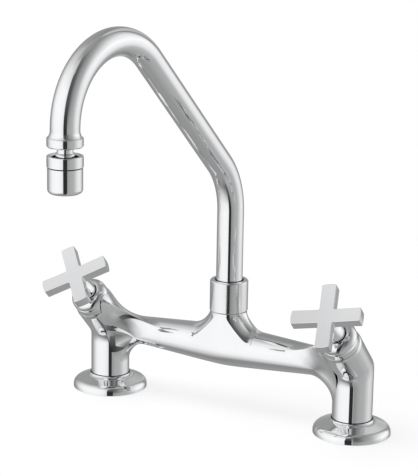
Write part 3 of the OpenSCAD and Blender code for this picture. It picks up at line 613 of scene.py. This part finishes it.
def boss_patch():
    """Fillet between the bridge and the boss. It starts at the boss's top all the way round.

    The ball's radius is found by halving: its centre has to stand at the height of that start.
    Where the smallest ball stands higher, its arc is cut off level with the boss's top.
    """
    smallest, largest = BOSS_FILLET, 400.0
    start_h = BOSS_RISE - 0.4
    a = np.linspace(0, 2 * math.pi, AROUND, endpoint=False)
    low, high = np.full(AROUND, smallest), np.full(AROUND, largest)

    def ball_height(r):
        """Where a ball of this size stands: its x and y, its distance from the axis, its height."""
        x, y = (BOSS_R + r) * np.cos(a), (BOSS_R + r) * np.sin(a)
        b = bridge_radius(x) + r
        return x, y, b, np.sqrt(np.maximum(b * b - y * y, 0.01))

    for _ in range(ROUNDS):
        middle = (low + high) / 2
        above = ball_height(middle)[3] > start_h
        low, high = np.where(above, low, middle), np.where(above, middle, high)
    r = np.where(ball_height(np.full(AROUND, smallest))[3] > start_h, smallest, high)
    x, y, b, z = ball_height(r)
    centre = np.stack([x, y, z], -1)
    u = np.stack([-np.cos(a), -np.sin(a), 0 * a], -1)
    v = np.stack([0 * a, -y, -z], -1) / b[:, None]
    w = np.arccos(np.sum(u * v, -1))
    cut = np.arcsin(np.clip((z - BOSS_RISE) * b * np.sin(w) / (r * z), 0, 1)) / w
    t = cut + (1 - cut) * np.linspace(0, 1, 49)[:, None]
    points, normals = rolled(centre, r, u, v, t)
    return grid_patch(points + np.array([0, 0, BRIDGE_H]), normals)


boss_bore, collar_r = 8.5, 11.2
boss_foot, boss_top = BRIDGE_H + 8, BRIDGE_H + BOSS_RISE
collar_top = boss_top + 10
boss = turned([
    (boss_bore, collar_top, 0.2), (collar_r, collar_top, 0.3), (collar_r, boss_top, 0.1),
    (BOSS_R, boss_top, 0.15), (BOSS_R, boss_foot, 0.1), (boss_bore, boss_foot, 0),
])
barrel_bore, barrel_depth = 9.6, 17
mouth = turned([
    (barrel_bore, BARREL_END - barrel_depth, 0), (barrel_bore, BARREL_END, 0.3), (COVER_R, BARREL_END, 0),
], closed=False)
pillar_bore, pillar_depth = 10.45, 12.6
foot = turned([
    (PILLAR_R - 0.01, FOOT_H + 1, 0), (PILLAR_R, FOOT_H, 0),
    (pillar_bore, FOOT_H, 0.3), (pillar_bore, FOOT_H + pillar_depth, 0),
], closed=False)
patches = [bridge_patch(), boss_patch(), boss]
for side in SIDES.values():
    patches += [elbow_patch(side), arm_patch(side)]
    patches += [placed(mouth, at_valve(side)), placed(foot, at_inlet(side))]
add_mesh("body_casting", *join(patches), chrome, "body", "bridge_body")
print("body casting:", sum(len(p[2]) for p in patches), "faces")

# %% [markdown]
# ## Escutcheons, covers and nuts
# These are all turned, so each is one rounded profile.


# %% Turned pieces on the body
def smooth_turned(parts, sides=192):
    """A patch from runs of points with their own normals, for arcs that must stay exact."""
    p = np.vstack([q for q, _ in parts])
    n = np.vstack([m for _, m in parts])
    return swept(p, n, sides)


def arc_run(cx, cz, r, a, b, steps=24, inward=False):
    """Points and normals of an arc, in degrees. Inward normals are for hollow arcs."""
    t = np.radians(np.linspace(a, b, steps))
    n = np.stack([np.cos(t), np.sin(t)], -1)
    return np.array([cx, cz]) + r * n, -n if inward else n


def line_run(p, q, steps=2):
    """Points and normals of a straight run. The metal lies to the right of its direction."""
    p, q = np.array(p, float), np.array(q, float)
    t = unit(q - p)
    n = np.array([-t[1], t[0]])
    return p + np.linspace(0, 1, steps)[:, None] * (q - p), np.repeat(n[None], steps, 0)


def flange_patch():
    """The escutcheon: an upright rim, a rounded shoulder, a 20 degree slope and a sweep up."""
    rim, rim_h, shoulder, slope, sweep, top = 27.6, 1.76, 5.5, math.radians(20), 4.8, 11.6
    inner = PILLAR_R + 0.05
    cx, cz = rim - shoulder, rim_h
    lx, lz = cx + shoulder * math.sin(slope), cz + shoulder * math.cos(slope)
    tx = inner + sweep * (1 - math.sin(slope))
    tz = lz + (lx - tx) * math.tan(slope)
    wx, wz = tx + sweep * math.sin(slope), tz + sweep * math.cos(slope)
    lip = 180 + math.degrees(math.asin((wz - top) / sweep))
    runs = [
        line_run((inner, FOOT_H), (inner, top)),
        line_run((inner, top), (wx + sweep * math.cos(math.radians(lip)), top)),
        arc_run(wx, wz, sweep, lip, 250, 20, inward=True),
        line_run((tx, tz), (lx, lz), 8),
        arc_run(cx, cz, shoulder, 70, 2, 28),
        line_run((rim, rim_h - 0.05), (rim, 0.45), 3),
        arc_run(rim - 0.15, 0.45, 0.15, 0, -90, 5),
        line_run((rim - 0.15, 0.3), (rim - 2.1, 0.3)),
    ]
    return smooth_turned(runs, AROUND)


flange = flange_patch()
cover_foot = BARREL_END + 0.2
ledge_h, ledge_top, dome_h, cover_top = 37.9, 40.6, 41.0, 46.7
thread_r, cover_bore, hole_r, dome_r, dome_in, edge = 12.2, 9.65, 7.6, 6.0, 4.6, 0.3
cover = smooth_turned([
    line_run((cover_bore, ledge_h), (cover_bore, ledge_top)),
    line_run((cover_bore, ledge_top), (thread_r, ledge_top)),
    line_run((thread_r, ledge_top), (thread_r, dome_h)),
    arc_run(hole_r, dome_h, dome_in, 0, 90, 24, inward=True),
    line_run((hole_r, dome_h + dome_in), (hole_r, cover_top)),
    arc_run(hole_r + edge, cover_top, edge, 180, 90, 8),
    arc_run(hole_r, dome_h, dome_r, 87, 0, 40),
    line_run((COVER_R, dome_h), (COVER_R, cover_foot + edge), 4),
    arc_run(COVER_R - edge, cover_foot + edge, edge, 0, -90, 6),
    line_run((COVER_R - edge, cover_foot), (thread_r + 0.2, cover_foot)),
    arc_run(thread_r + 0.2, cover_foot + 0.2, 0.2, 270, 180, 5),
    line_run((thread_r, cover_foot + 0.2), (thread_r, ledge_h)),
    line_run((thread_r, ledge_h), (cover_bore, ledge_h)),
], AROUND)
for name, side in SIDES.items():
    inlet_axis = (side * HALF_SPACING * MM, 0, 0)
    # The escutcheon's top round the pillar has painted shade, near black, in its colour.
    foot_chrome_painted_shade = shaded(plate(f"foot_chrome_painted_shade_{name}"), *FOOT_GAP, inlet_axis)
    add_mesh(f"escutcheon_{name}", *placed(flange, at_inlet(side)), foot_chrome_painted_shade, "body", f"flange_{name}")
    add_mesh(f"bonnet_shell_{name}", *placed(cover, at_valve(side)), chrome, "body", f"bonnet_cover_{name}")

nut = turned([
    (11.25, 75.0, 0.2), (13.3, 75.0, 0.2), (13.8, 75.5, 0.4), (13.8, 96.9, 0.5), (13.1, 97.7, 0.4),
    (10.65, 97.7, 0.1), (9.75, 97.0, 0.1), (9.75, 89.1, 0.1), (11.25, 89.1, 0.1),
][::-1])
add_mesh("nut_shell", *nut, satin, "body", "spout_nut")
print("turned pieces done")


# %% [markdown]
# ## Cross handles
# Four square arms with crisp edges. The outline is walked round once, and a narrow bevel
# turns it into the front and the back face.


# %% Cross handles
def cross_line(width=10.1, span=49.4, corner=1.2):
    """Outline of a cross, anticlockwise, with its outward normals, and a sharp tip to each arm."""
    half, tip = width / 2, span / 2
    pts, nrm = [], []
    edge = 0.35
    for q in range(4):
        a = math.radians(90 * q)
        rot = np.array([[math.cos(a), -math.sin(a)], [math.sin(a), math.cos(a)]])
        run, normal = [], []
        dome = math.asin(half / tip)
        x_end = tip * math.cos(dome)
        for x in np.linspace(half + corner, x_end - edge, 6):
            run.append([x, -half])
            normal.append([0, -1])
        for k in np.linspace(0, 1, 6)[1:]:
            w = -math.pi / 2 + k * (math.pi / 2 - dome)
            run.append([x_end - edge + edge * math.cos(w), -half + edge + edge * math.sin(w)])
            normal.append([math.cos(w), math.sin(w)])
        for w in np.linspace(-dome * 0.92, dome * 0.92, 9):
            run.append([tip * math.cos(w), tip * math.sin(w)])
            normal.append([math.cos(w), math.sin(w)])
        for k in np.linspace(0, 1, 6)[:-1]:
            w = dome + k * (math.pi / 2 - dome)
            run.append([x_end - edge + edge * math.cos(w), half - edge + edge * math.sin(w)])
            normal.append([math.cos(w), math.sin(w)])
        for x in np.linspace(x_end - edge, half + corner, 6):
            run.append([x, half])
            normal.append([0, 1])
        for w in np.radians(np.linspace(270, 180, 6))[1:-1]:
            run.append([half + corner + corner * math.cos(w), half + corner + corner * math.sin(w)])
            normal.append([-math.cos(w), -math.sin(w)])
        pts.append(np.array(run) @ rot.T)
        nrm.append(np.array(normal) @ rot.T)
    return np.vstack(pts), np.vstack(nrm)


def cross_patches(turn, front=71.6, thick=7.5, bevel=0.3, dish=700.0):
    """The cross as walls, two bevels, a front face with a very slight dish and a flat back."""
    line, normal = cross_line()
    a = math.radians(turn)
    rot = np.array([[math.cos(a), -math.sin(a)], [math.sin(a), math.cos(a)]])
    line, normal = line @ rot.T, normal @ rot.T
    floor = front - np.max(np.sum(line ** 2, 1)) / (2 * dish)
    top = floor + np.sum(line ** 2, 1) / (2 * dish)
    rows, normals = [], []
    back = front - thick
    for edge, start, end in ((np.full(len(line), back + bevel), -90, 0), (top - bevel, 0, 90)):
        for b in np.radians(np.linspace(start, end, 5)):
            moved = line + normal * bevel * (math.cos(b) - 1)
            rows.append(np.column_stack([moved, edge + bevel * math.sin(b)]))
            normals.append(np.column_stack([normal * math.cos(b), np.full(len(line), math.sin(b))]))
    walls = grid_patch(np.array(rows), np.array(normals))
    inner = line - normal * bevel
    t = np.linspace(1, 0.0001, 12)[:, None, None]
    flat = inner[None] * t
    face = np.concatenate([flat, floor + np.sum(flat ** 2, -1, keepdims=True) / (2 * dish)], -1)
    lean = unit(np.concatenate([-flat / dish, np.ones_like(flat[..., :1])], -1))
    under = np.concatenate([flat[[0, -1]], np.full((2, len(inner), 1), back)], -1)
    return [walls, grid_patch(face, lean), grid_patch(under, np.broadcast_to([0, 0, -1.0], under.shape))]


neck_r, hole_r, axis_r = 7.0, 4.05, 0.1
neck_foot, hole_top, neck_top = 45.7, 59.7, 64.3
neck = turned([
    (hole_r, neck_foot, 0.2), (hole_r, hole_top, 0), (axis_r, hole_top, 0),
    (axis_r, neck_top, 0), (neck_r, neck_top, 0), (neck_r, neck_foot, 0.4),
], closed=False)
TURNS = {"left": 36.5, "right": 13.0}
for name, side in SIDES.items():
    patch = placed(join([*cross_patches(TURNS[name]), neck]), at_valve(side))
    add_mesh(f"cross_{name}", *patch, chrome, f"handle_{name}", f"cross_handle_{name}")
print("cross handles done")

# %% [markdown]
# ## The spout
# One line of circles: an upright stem, a bend, a leaning run, the top bend and a straight
# end that flares out over the adaptor.


# %% Spout tube
def spout_patch():
    """Circles along the spout's line. Each has its place, its direction and its radius."""
    stations = []
    for z in np.linspace(TUBE_START, STEM_TOP, 14):
        stations.append((0, z, 0, TUBE_R, 0))
    for a in np.linspace(0, LEAN, 40)[1:]:
        stations.append((BEND_LOW * (1 - math.cos(a)), STEM_TOP + BEND_LOW * math.sin(a), a, TUBE_R, 0))
    x0, z0 = stations[-1][:2]
    for t in np.linspace(0, LEAN_LEN, 24)[1:]:
        stations.append((x0 + t * math.sin(LEAN), z0 + t * math.cos(LEAN), LEAN, TUBE_R, 0))
    x1, z1 = stations[-1][:2]
    for a in np.linspace(LEAN, math.pi, 110)[1:]:
        x = x1 + BEND_TOP * (math.cos(LEAN) - math.cos(a))
        z = z1 + BEND_TOP * (math.sin(a) - math.sin(LEAN))
        stations.append((x, z, a, TUBE_R, 0))
    flare_h, flare_r = 4.0, 11.1
    stations.append((REACH, TUBE_END + flare_h + 0.4, math.pi, TUBE_R, 0))
    grow = flare_r - TUBE_R
    sweep = (flare_h ** 2 + grow ** 2) / (2 * grow)
    for z in np.linspace(0, flare_h - 0.15, 14):
        angle = math.asin(z / sweep)
        radius = TUBE_R + sweep * (1 - math.cos(angle))
        stations.append((REACH, TUBE_END + flare_h - z, math.pi, radius, angle))
    stations.append((REACH, TUBE_END + 0.08, math.pi, flare_r, -0.3))
    stations.append((REACH, TUBE_END, math.pi, flare_r - 0.12, -1.2))
    stations.append((REACH, TUBE_END, math.pi, TUBE_R - TUBE_WALL, -math.pi / 2))
    b = np.linspace(0, 2 * math.pi, 160, endpoint=False)
    cb, sb = np.cos(b), np.sin(b)
    rows, normals = [], []
    for x, z, a, r, tip in stations:
        along = np.array([math.sin(a), 0, math.cos(a)])
        out = np.array([math.cos(a), 0, -math.sin(a)])
        side = np.array([0, 1.0, 0])
        ring = cb[:, None] * out + sb[:, None] * side
        rows.append(np.array([x, 0, z]) + r * ring)
        normals.append(unit(ring * math.cos(tip) - along * math.sin(tip)))
    return grid_patch(np.array(rows), np.array(normals))


heading = Matrix.Rotation(HEADING - math.pi / 2, 4, "Z")
add_mesh("spout_shell", *placed(spout_patch(), heading), chrome, "spout", "spout_tube")
print("spout done")

# %% [markdown]
# ## The swivel outlet
# From the top: an adaptor, the neck and ball of the stem, the ring that holds the ball, and
# the aerator cup below it.

# %% Outlet pieces
adaptor = turned([
    (5.3, ADAPTOR_FOOT, 0.2), (5.3, ADAPTOR_FOOT + 2, 0.1), (7.2, ADAPTOR_FOOT + 2, 0.1),
    (7.2, BEND_END - 0.1, 0.1), (8.3, BEND_END - 0.1, 0.1), (8.3, TUBE_END, 0),
    (11.3, TUBE_END, 0.2), (11.7, TUBE_END - 0.4, 0.2),
    (11.7, ADAPTOR_FOOT + 0.9, 0.5), (10.9, ADAPTOR_FOOT, 0.4),
])
add_mesh("adaptor_shell", *placed(adaptor, at_outlet()), chrome, "spout", "outlet_adaptor")

ball_start = math.degrees(math.asin(5.24 / 8))
stem_top = ADAPTOR_FOOT + 5
stem = smooth_turned([
    line_run((3.2, BALL_H - 7.2), (3.2, stem_top)),
    line_run((3.4, stem_top), (4.9, stem_top)),
    arc_run(4.94, stem_top - 0.3, 0.3, 90, 0, 5),
    line_run((5.24, stem_top - 0.3), (5.24, RING_TOP + 1.75), 3),
    arc_run(5.44, RING_TOP + 1.7, 0.2, 180, 270, 5, inward=True),
    line_run((5.44, RING_TOP + 1.5), (5.9, RING_TOP + 1.5)),
    arc_run(5.9, RING_TOP + 1.2, 0.3, 90, 0, 6),
    line_run((6.2, RING_TOP + 1.2), (6.2, RING_TOP - 1.2), 3),
    arc_run(5.9, RING_TOP - 1.2, 0.3, 0, -90, 6),
    line_run((5.9, RING_TOP - 1.5), (5.24, RING_TOP - 1.5)),
    arc_run(0, BALL_H, 8.0, 90 - ball_start, -64, 48),
    line_run((3.49, BALL_H - 7.2), (3.2, BALL_H - 7.2)),
], 192)
add_mesh("stem_and_ball", *placed(stem, at_outlet()), chrome, "outlet_swivel", "ball_stem")

ring = turned([
    (9.8, RING_FOOT + SEAM, 0.1), (9.8, RING_TOP - 3.4, 0.1),
    (8.3, RING_TOP - 3.4, 0.2), (8.3, RING_TOP - 1.2, 0.3),
    (10.4, RING_TOP, 0.25), (11.7, RING_TOP, 0.8), (11.7, RING_FOOT + SEAM, 0.15),
])
add_mesh("ring_shell", *placed(ring, at_outlet()), ring_chrome_painted_shade, "outlet_head", "outlet_ring")

cup = turned([
    (7.6, CUP_FOOT, 0.25), (7.6, CUP_FOOT + 1.5, 0.1), (8.4, CUP_FOOT + 1.5, 0.1),
    (8.4, RING_FOOT + 1.7, 0.1),
    (9.75, RING_FOOT + 1.7, 0.1), (9.75, CUP_TOP, 0.1), (11.3, CUP_TOP, 0.12), (11.3, CUP_FOOT, 3.0),
], steps=16)
add_mesh("cup_shell", *placed(cup, at_outlet()), cup_chrome_painted_shade, "outlet_head", "outlet_cup")
print("outlet done")

# %% [markdown]
# ## The studio
# A white table, a pale tent and one dark card in front. The floor takes the shadow but isn't
# mirrored: the world gives the mirrors their picture, ring by ring, so each band in the metal
# can be placed.


# %% Floor
def floor_material():
    """A white table. To the eye it fades to pure white away from the tap, and keeps its shadow."""
    mat, tree, shader = new_material("white_table")
    nodes, links = tree.nodes, tree.links
    noise = nodes.new("ShaderNodeTexNoise")
    noise.inputs["Scale"].default_value = 3.0
    tone = color_mix(tree, noise.outputs["Fac"], (0.93, 0.93, 0.93, 1), (0.95, 0.95, 0.95, 1))
    links.new(tone, shader.inputs["Base Color"])
    shader.inputs["Roughness"].default_value = 0.9
    coord = nodes.new("ShaderNodeTexCoord")
    length = nodes.new("ShaderNodeVectorMath")
    length.operation = "LENGTH"
    links.new(coord.outputs["Object"], length.inputs[0])
    fade = nodes.new("ShaderNodeMapRange")
    fade.interpolation_type = "SMOOTHSTEP"
    fade.inputs["From Min"].default_value = 0.12
    fade.inputs["From Max"].default_value = 0.55
    fade.inputs["To Min"].default_value = 0.78
    links.new(length.outputs["Value"], fade.inputs["Value"])
    path = nodes.new("ShaderNodeLightPath")
    share = math_node(tree, "MULTIPLY", fade.outputs["Result"], path.outputs["Is Camera Ray"])
    white = nodes.new("ShaderNodeEmission")
    blend = nodes.new("ShaderNodeMixShader")
    links.new(share, blend.inputs["Fac"])
    links.new(shader.outputs["BSDF"], blend.inputs[1])
    links.new(white.outputs["Emission"], blend.inputs[2])
    links.new(blend.outputs["Shader"], nodes["Material Output"].inputs["Surface"])
    return mat


floor_mesh = bpy.data.meshes.new("floor")
floor_mesh.from_pydata([(-4, -4, 0), (4, -4, 0), (4, 4, 0), (-4, 4, 0)], [], [(0, 1, 2, 3)])
floor = bpy.data.objects.new("floor", floor_mesh)
link(floor)
floor_mesh.materials.append(floor_material())
floor.visible_glossy = False

# %% [markdown]
# The mirrors' picture is a table. Each row is a ring of the tent at one height, in degrees
# above the horizon, and each column a direction in plan, in degrees to the right of the
# camera. The numbers are the grey, out of 255, that polished plate shows when it mirrors that
# place: a wide white cloth on the left, a narrow one on the right, grey behind and above.
# They were listed to follow the greys that the photograph shows in each direction.

# %% World
CAMERA_AZIMUTH = math.radians(28.43)
PLATE_SHARE = 0.9
BRIGHTEST = 1.12
PLAN = (
    -180, -150, -128, -105, -85, -55, -30, -15, -6, 2, 12,
    22, 37, 60, 78, 97, 117, 130, 142, 152, 163, 174,
)
RINGS = {
    -80: (
        148, 148, 146, 148, 150, 150, 148, 146, 144, 144, 147,
        148, 148, 148, 150, 150, 150, 146, 140, 140, 142, 145),
    -60: (
        150, 148, 140, 130, 134, 138, 114, 112, 114, 138, 150,
        175, 176, 160, 162, 162, 161, 160, 150, 146, 150, 152),
    -45: (
        150, 150, 152, 172, 200, 208, 178, 155, 140, 145, 158,
        156, 165, 167, 168, 166, 162, 160, 136, 122, 128, 132),
    -28: (
        150, 135, 158, 190, 236, 242, 240, 225, 190, 140, 145,
        158, 168, 170, 172, 188, 178, 162, 140, 128, 165, 190),
    -14: (
        172, 130, 153, 215, 242, 248, 245, 235, 210, 140, 145,
        157, 168, 174, 205, 232, 228, 205, 162, 140, 140, 128),
    10: (
        158, 142, 192, 238, 248, 252, 249, 242, 215, 110, 105,
        118, 149, 178, 230, 255, 255, 248, 140, 150, 190, 152),
    35: (
        140, 158, 202, 236, 246, 249, 246, 238, 200, 95, 88,
        108, 145, 162, 196, 224, 225, 198, 118, 200, 180, 130),
    58: (
        140, 148, 188, 205, 225, 230, 216, 202, 165, 105, 90,
        97, 122, 145, 154, 168, 162, 148, 150, 205, 165, 132),
    70: (
        150, 165, 184, 188, 186, 192, 203, 195, 160, 130, 110,
        105, 118, 132, 138, 138, 139, 137, 138, 142, 155, 158),
    84: (
        150, 150, 150, 150, 150, 150, 150, 148, 148, 146, 146,
        146, 146, 148, 148, 148, 148, 148, 150, 150, 150, 150),
}


def cloth(level):
    """Brightness of a cloth that polished plate shows as this grey.

    The screen's curve is undone, and the result is divided by the share that the plate mirrors.
    """
    offset, power = 0.055, 2.4
    return ((level / 255 + offset) / (1 + offset)) ** power / PLATE_SHARE


def world_picture():
    """The table of greys as ramps in plan, blended from ring to ring by height."""
    world = bpy.data.worlds.new("studio")
    bpy.context.scene.world = world
    world.use_nodes = True
    nodes, links = world.node_tree.nodes, world.node_tree.links
    nodes.clear()
    coord = nodes.new("ShaderNodeTexCoord")
    turn = nodes.new("ShaderNodeVectorRotate")
    turn.rotation_type = "Z_AXIS"
    turn.inputs["Angle"].default_value = -CAMERA_AZIMUTH
    links.new(coord.outputs["Generated"], turn.inputs["Vector"])
    split = nodes.new("ShaderNodeSeparateXYZ")
    links.new(turn.outputs["Vector"], split.inputs["Vector"])

    tree = world.node_tree
    minus_y = math_node(tree, "MULTIPLY", split.outputs["Y"], -1.0)
    plan = math_node(tree, "ARCTAN2", split.outputs["X"], minus_y)
    around = math_node(tree, "ADD", math_node(tree, "DIVIDE", plan, 2 * math.pi), 0.5)

    def ring(levels):
        """One row of the table as a ramp round the plan. It closes on its first grey."""
        node = nodes.new("ShaderNodeValToRGB")
        places = [(p / 360 + 0.5, cloth(v) / BRIGHTEST) for p, v in zip(PLAN, levels)]
        places.append((1.0, places[0][1]))
        while len(node.color_ramp.elements) < len(places):
            node.color_ramp.elements.new(0.5)
        for element, (place, level) in zip(node.color_ramp.elements, places):
            element.position = place
            element.color = (level, level, level, 1)
        links.new(around, node.inputs["Fac"])
        return node.outputs["Color"]

    heights = sorted(RINGS)
    result = ring(RINGS[heights[0]])
    for low, high in zip(heights, heights[1:]):
        step = nodes.new("ShaderNodeMapRange")
        step.inputs["From Min"].default_value = math.sin(math.radians(low))
        step.inputs["From Max"].default_value = math.sin(math.radians(high))
        links.new(split.outputs["Z"], step.inputs["Value"])
        result = color_mix(tree, step.outputs["Result"], result, ring(RINGS[high]))
    picture = nodes.new("ShaderNodeBackground")
    picture.inputs["Strength"].default_value = BRIGHTEST
    links.new(result, picture.inputs["Color"])
    white = nodes.new("ShaderNodeBackground")
    white.inputs["Color"].default_value = (1, 1, 1, 1)
    path = nodes.new("ShaderNodeLightPath")
    seen = nodes.new("ShaderNodeMixShader")
    links.new(path.outputs["Is Camera Ray"], seen.inputs["Fac"])
    links.new(picture.outputs["Background"], seen.inputs[1])
    links.new(white.outputs["Background"], seen.inputs[2])
    out = nodes.new("ShaderNodeOutputWorld")
    links.new(seen.outputs["Shader"], out.inputs["Surface"])
    print("world: %d rings of %d greys" % (len(RINGS), len(PLAN)))


world_picture()

# %% [markdown]
# The dark stripe in each upright comes from a card close in front. It is near, so its mirror
# image moves a little from one pillar to the next, which a picture at infinity can't do.


# %% Dark card
def dark_card(depth=0.67, shift=-0.06, width=0.235, foot=-1.15, head=0.95):
    """An upright card facing the tap, seen only in mirrors. Its grey changes with height."""
    a = CAMERA_AZIMUTH
    front, right = Vector((math.sin(a), -math.cos(a), 0)), Vector((math.cos(a), math.sin(a), 0))
    centre = front * depth + right * shift
    corners = []
    for s, z in ((-1, foot), (1, foot), (1, head), (-1, head)):
        corners.append(tuple(centre + right * (s * width / 2) + Vector((0, 0, z))))
    mesh = bpy.data.meshes.new("dark_card")
    mesh.from_pydata(corners, [], [(0, 1, 2, 3)])
    card = bpy.data.objects.new("dark_card", mesh)
    link(card)
    mat = bpy.data.materials.new("dark_cloth")
    mat.use_nodes = True
    nodes, links = mat.node_tree.nodes, mat.node_tree.links
    nodes.clear()
    coord = nodes.new("ShaderNodeTexCoord")
    split = nodes.new("ShaderNodeSeparateXYZ")
    links.new(coord.outputs["Object"], split.inputs["Vector"])
    place = nodes.new("ShaderNodeMapRange")
    place.inputs["From Min"].default_value = foot
    place.inputs["From Max"].default_value = head
    links.new(split.outputs["Z"], place.inputs["Value"])
    ramp = nodes.new("ShaderNodeValToRGB")
    stops = (
        (foot, 105), (-0.75, 90), (-0.45, 78), (-0.2, 45), (-0.05, 40),
        (0.12, 44), (0.26, 58), (0.4, 80), (head, 90),
    )
    while len(ramp.color_ramp.elements) < len(stops):
        ramp.color_ramp.elements.new(0.5)
    for element, (z, level) in zip(ramp.color_ramp.elements, stops):
        element.position = (z - foot) / (head - foot)
        element.color = (cloth(level), cloth(level), cloth(level), 1)
    links.new(place.outputs["Result"], ramp.inputs["Fac"])
    glow = nodes.new("ShaderNodeEmission")
    links.new(ramp.outputs["Color"], glow.inputs["Color"])
    out = nodes.new("ShaderNodeOutputMaterial")
    links.new(glow.outputs["Emission"], out.inputs["Surface"])
    mesh.materials.append(mat)
    card.visible_camera = False
    card.visible_diffuse = False
    card.visible_shadow = False


dark_card()


# %% Soft lamps
def softbox(name, place, size, power, aim=(0, -0.05, 0.12)):
    """A rectangular lamp aimed at the tap. It lights the tap and isn't mirrored in it."""
    lamp = bpy.data.lights.new(name, "AREA")
    lamp.shape = "RECTANGLE"
    lamp.size, lamp.size_y = size
    lamp.energy = power
    obj = bpy.data.objects.new(name, lamp)
    obj.location = place
    obj.rotation_euler = (Vector(aim) - Vector(place)).to_track_quat("-Z", "Y").to_euler()
    link(obj)
    obj.visible_glossy = False
    obj.visible_camera = False


softbox("top_light", (-0.5, -0.5, 1.8), (1.4, 1.4), 26)
softbox("left_light", (-1.6, -0.6, 0.9), (1.2, 1.2), 10)
print("studio done")


# %% [markdown]
# ## The camera
# The photograph was matched by fitting a pinhole camera to the tap's outline: its direction,
# a roll of one degree, its distance and its focal length.


# %% Camera
CAMERA_RISE = math.radians(14.03)
CAMERA_ROLL = math.radians(1.01)
CAMERA_DISTANCE = 1.30271
FOCAL_PIXELS = 1821.17
AIM_SHIFT = -0.01509
AIM_HEIGHT = 0.12818
SENSOR = 36
PHOTO_HEIGHT = 476


def photo_camera():
    """The fitted camera, in metres. It looks along -back, and its roll turns right and up."""
    a, e, roll = CAMERA_AZIMUTH, CAMERA_RISE, CAMERA_ROLL
    back = Vector((math.sin(a) * math.cos(e), -math.cos(a) * math.cos(e), math.sin(e)))
    right = Vector((math.cos(a), math.sin(a), 0))
    up = back.cross(right)
    cos, sin = math.cos(roll), math.sin(roll)
    right, up = cos * right + sin * up, cos * up - sin * right
    data = bpy.data.cameras.new("photo_camera")
    data.sensor_width = SENSOR
    data.lens = FOCAL_PIXELS * SENSOR / PHOTO_HEIGHT
    data.clip_start, data.clip_end = 0.05, 50
    camera = bpy.data.objects.new("photo_camera", data)
    link(camera)
    place = Vector((0, 0, AIM_HEIGHT)) + right * AIM_SHIFT + back * CAMERA_DISTANCE
    camera.matrix_world = Matrix.Translation(place) @ Matrix((right, up, back)).transposed().to_4x4()
    bpy.context.scene.camera = camera


photo_camera()
bpy.context.scene.view_settings.view_transform = "Standard"
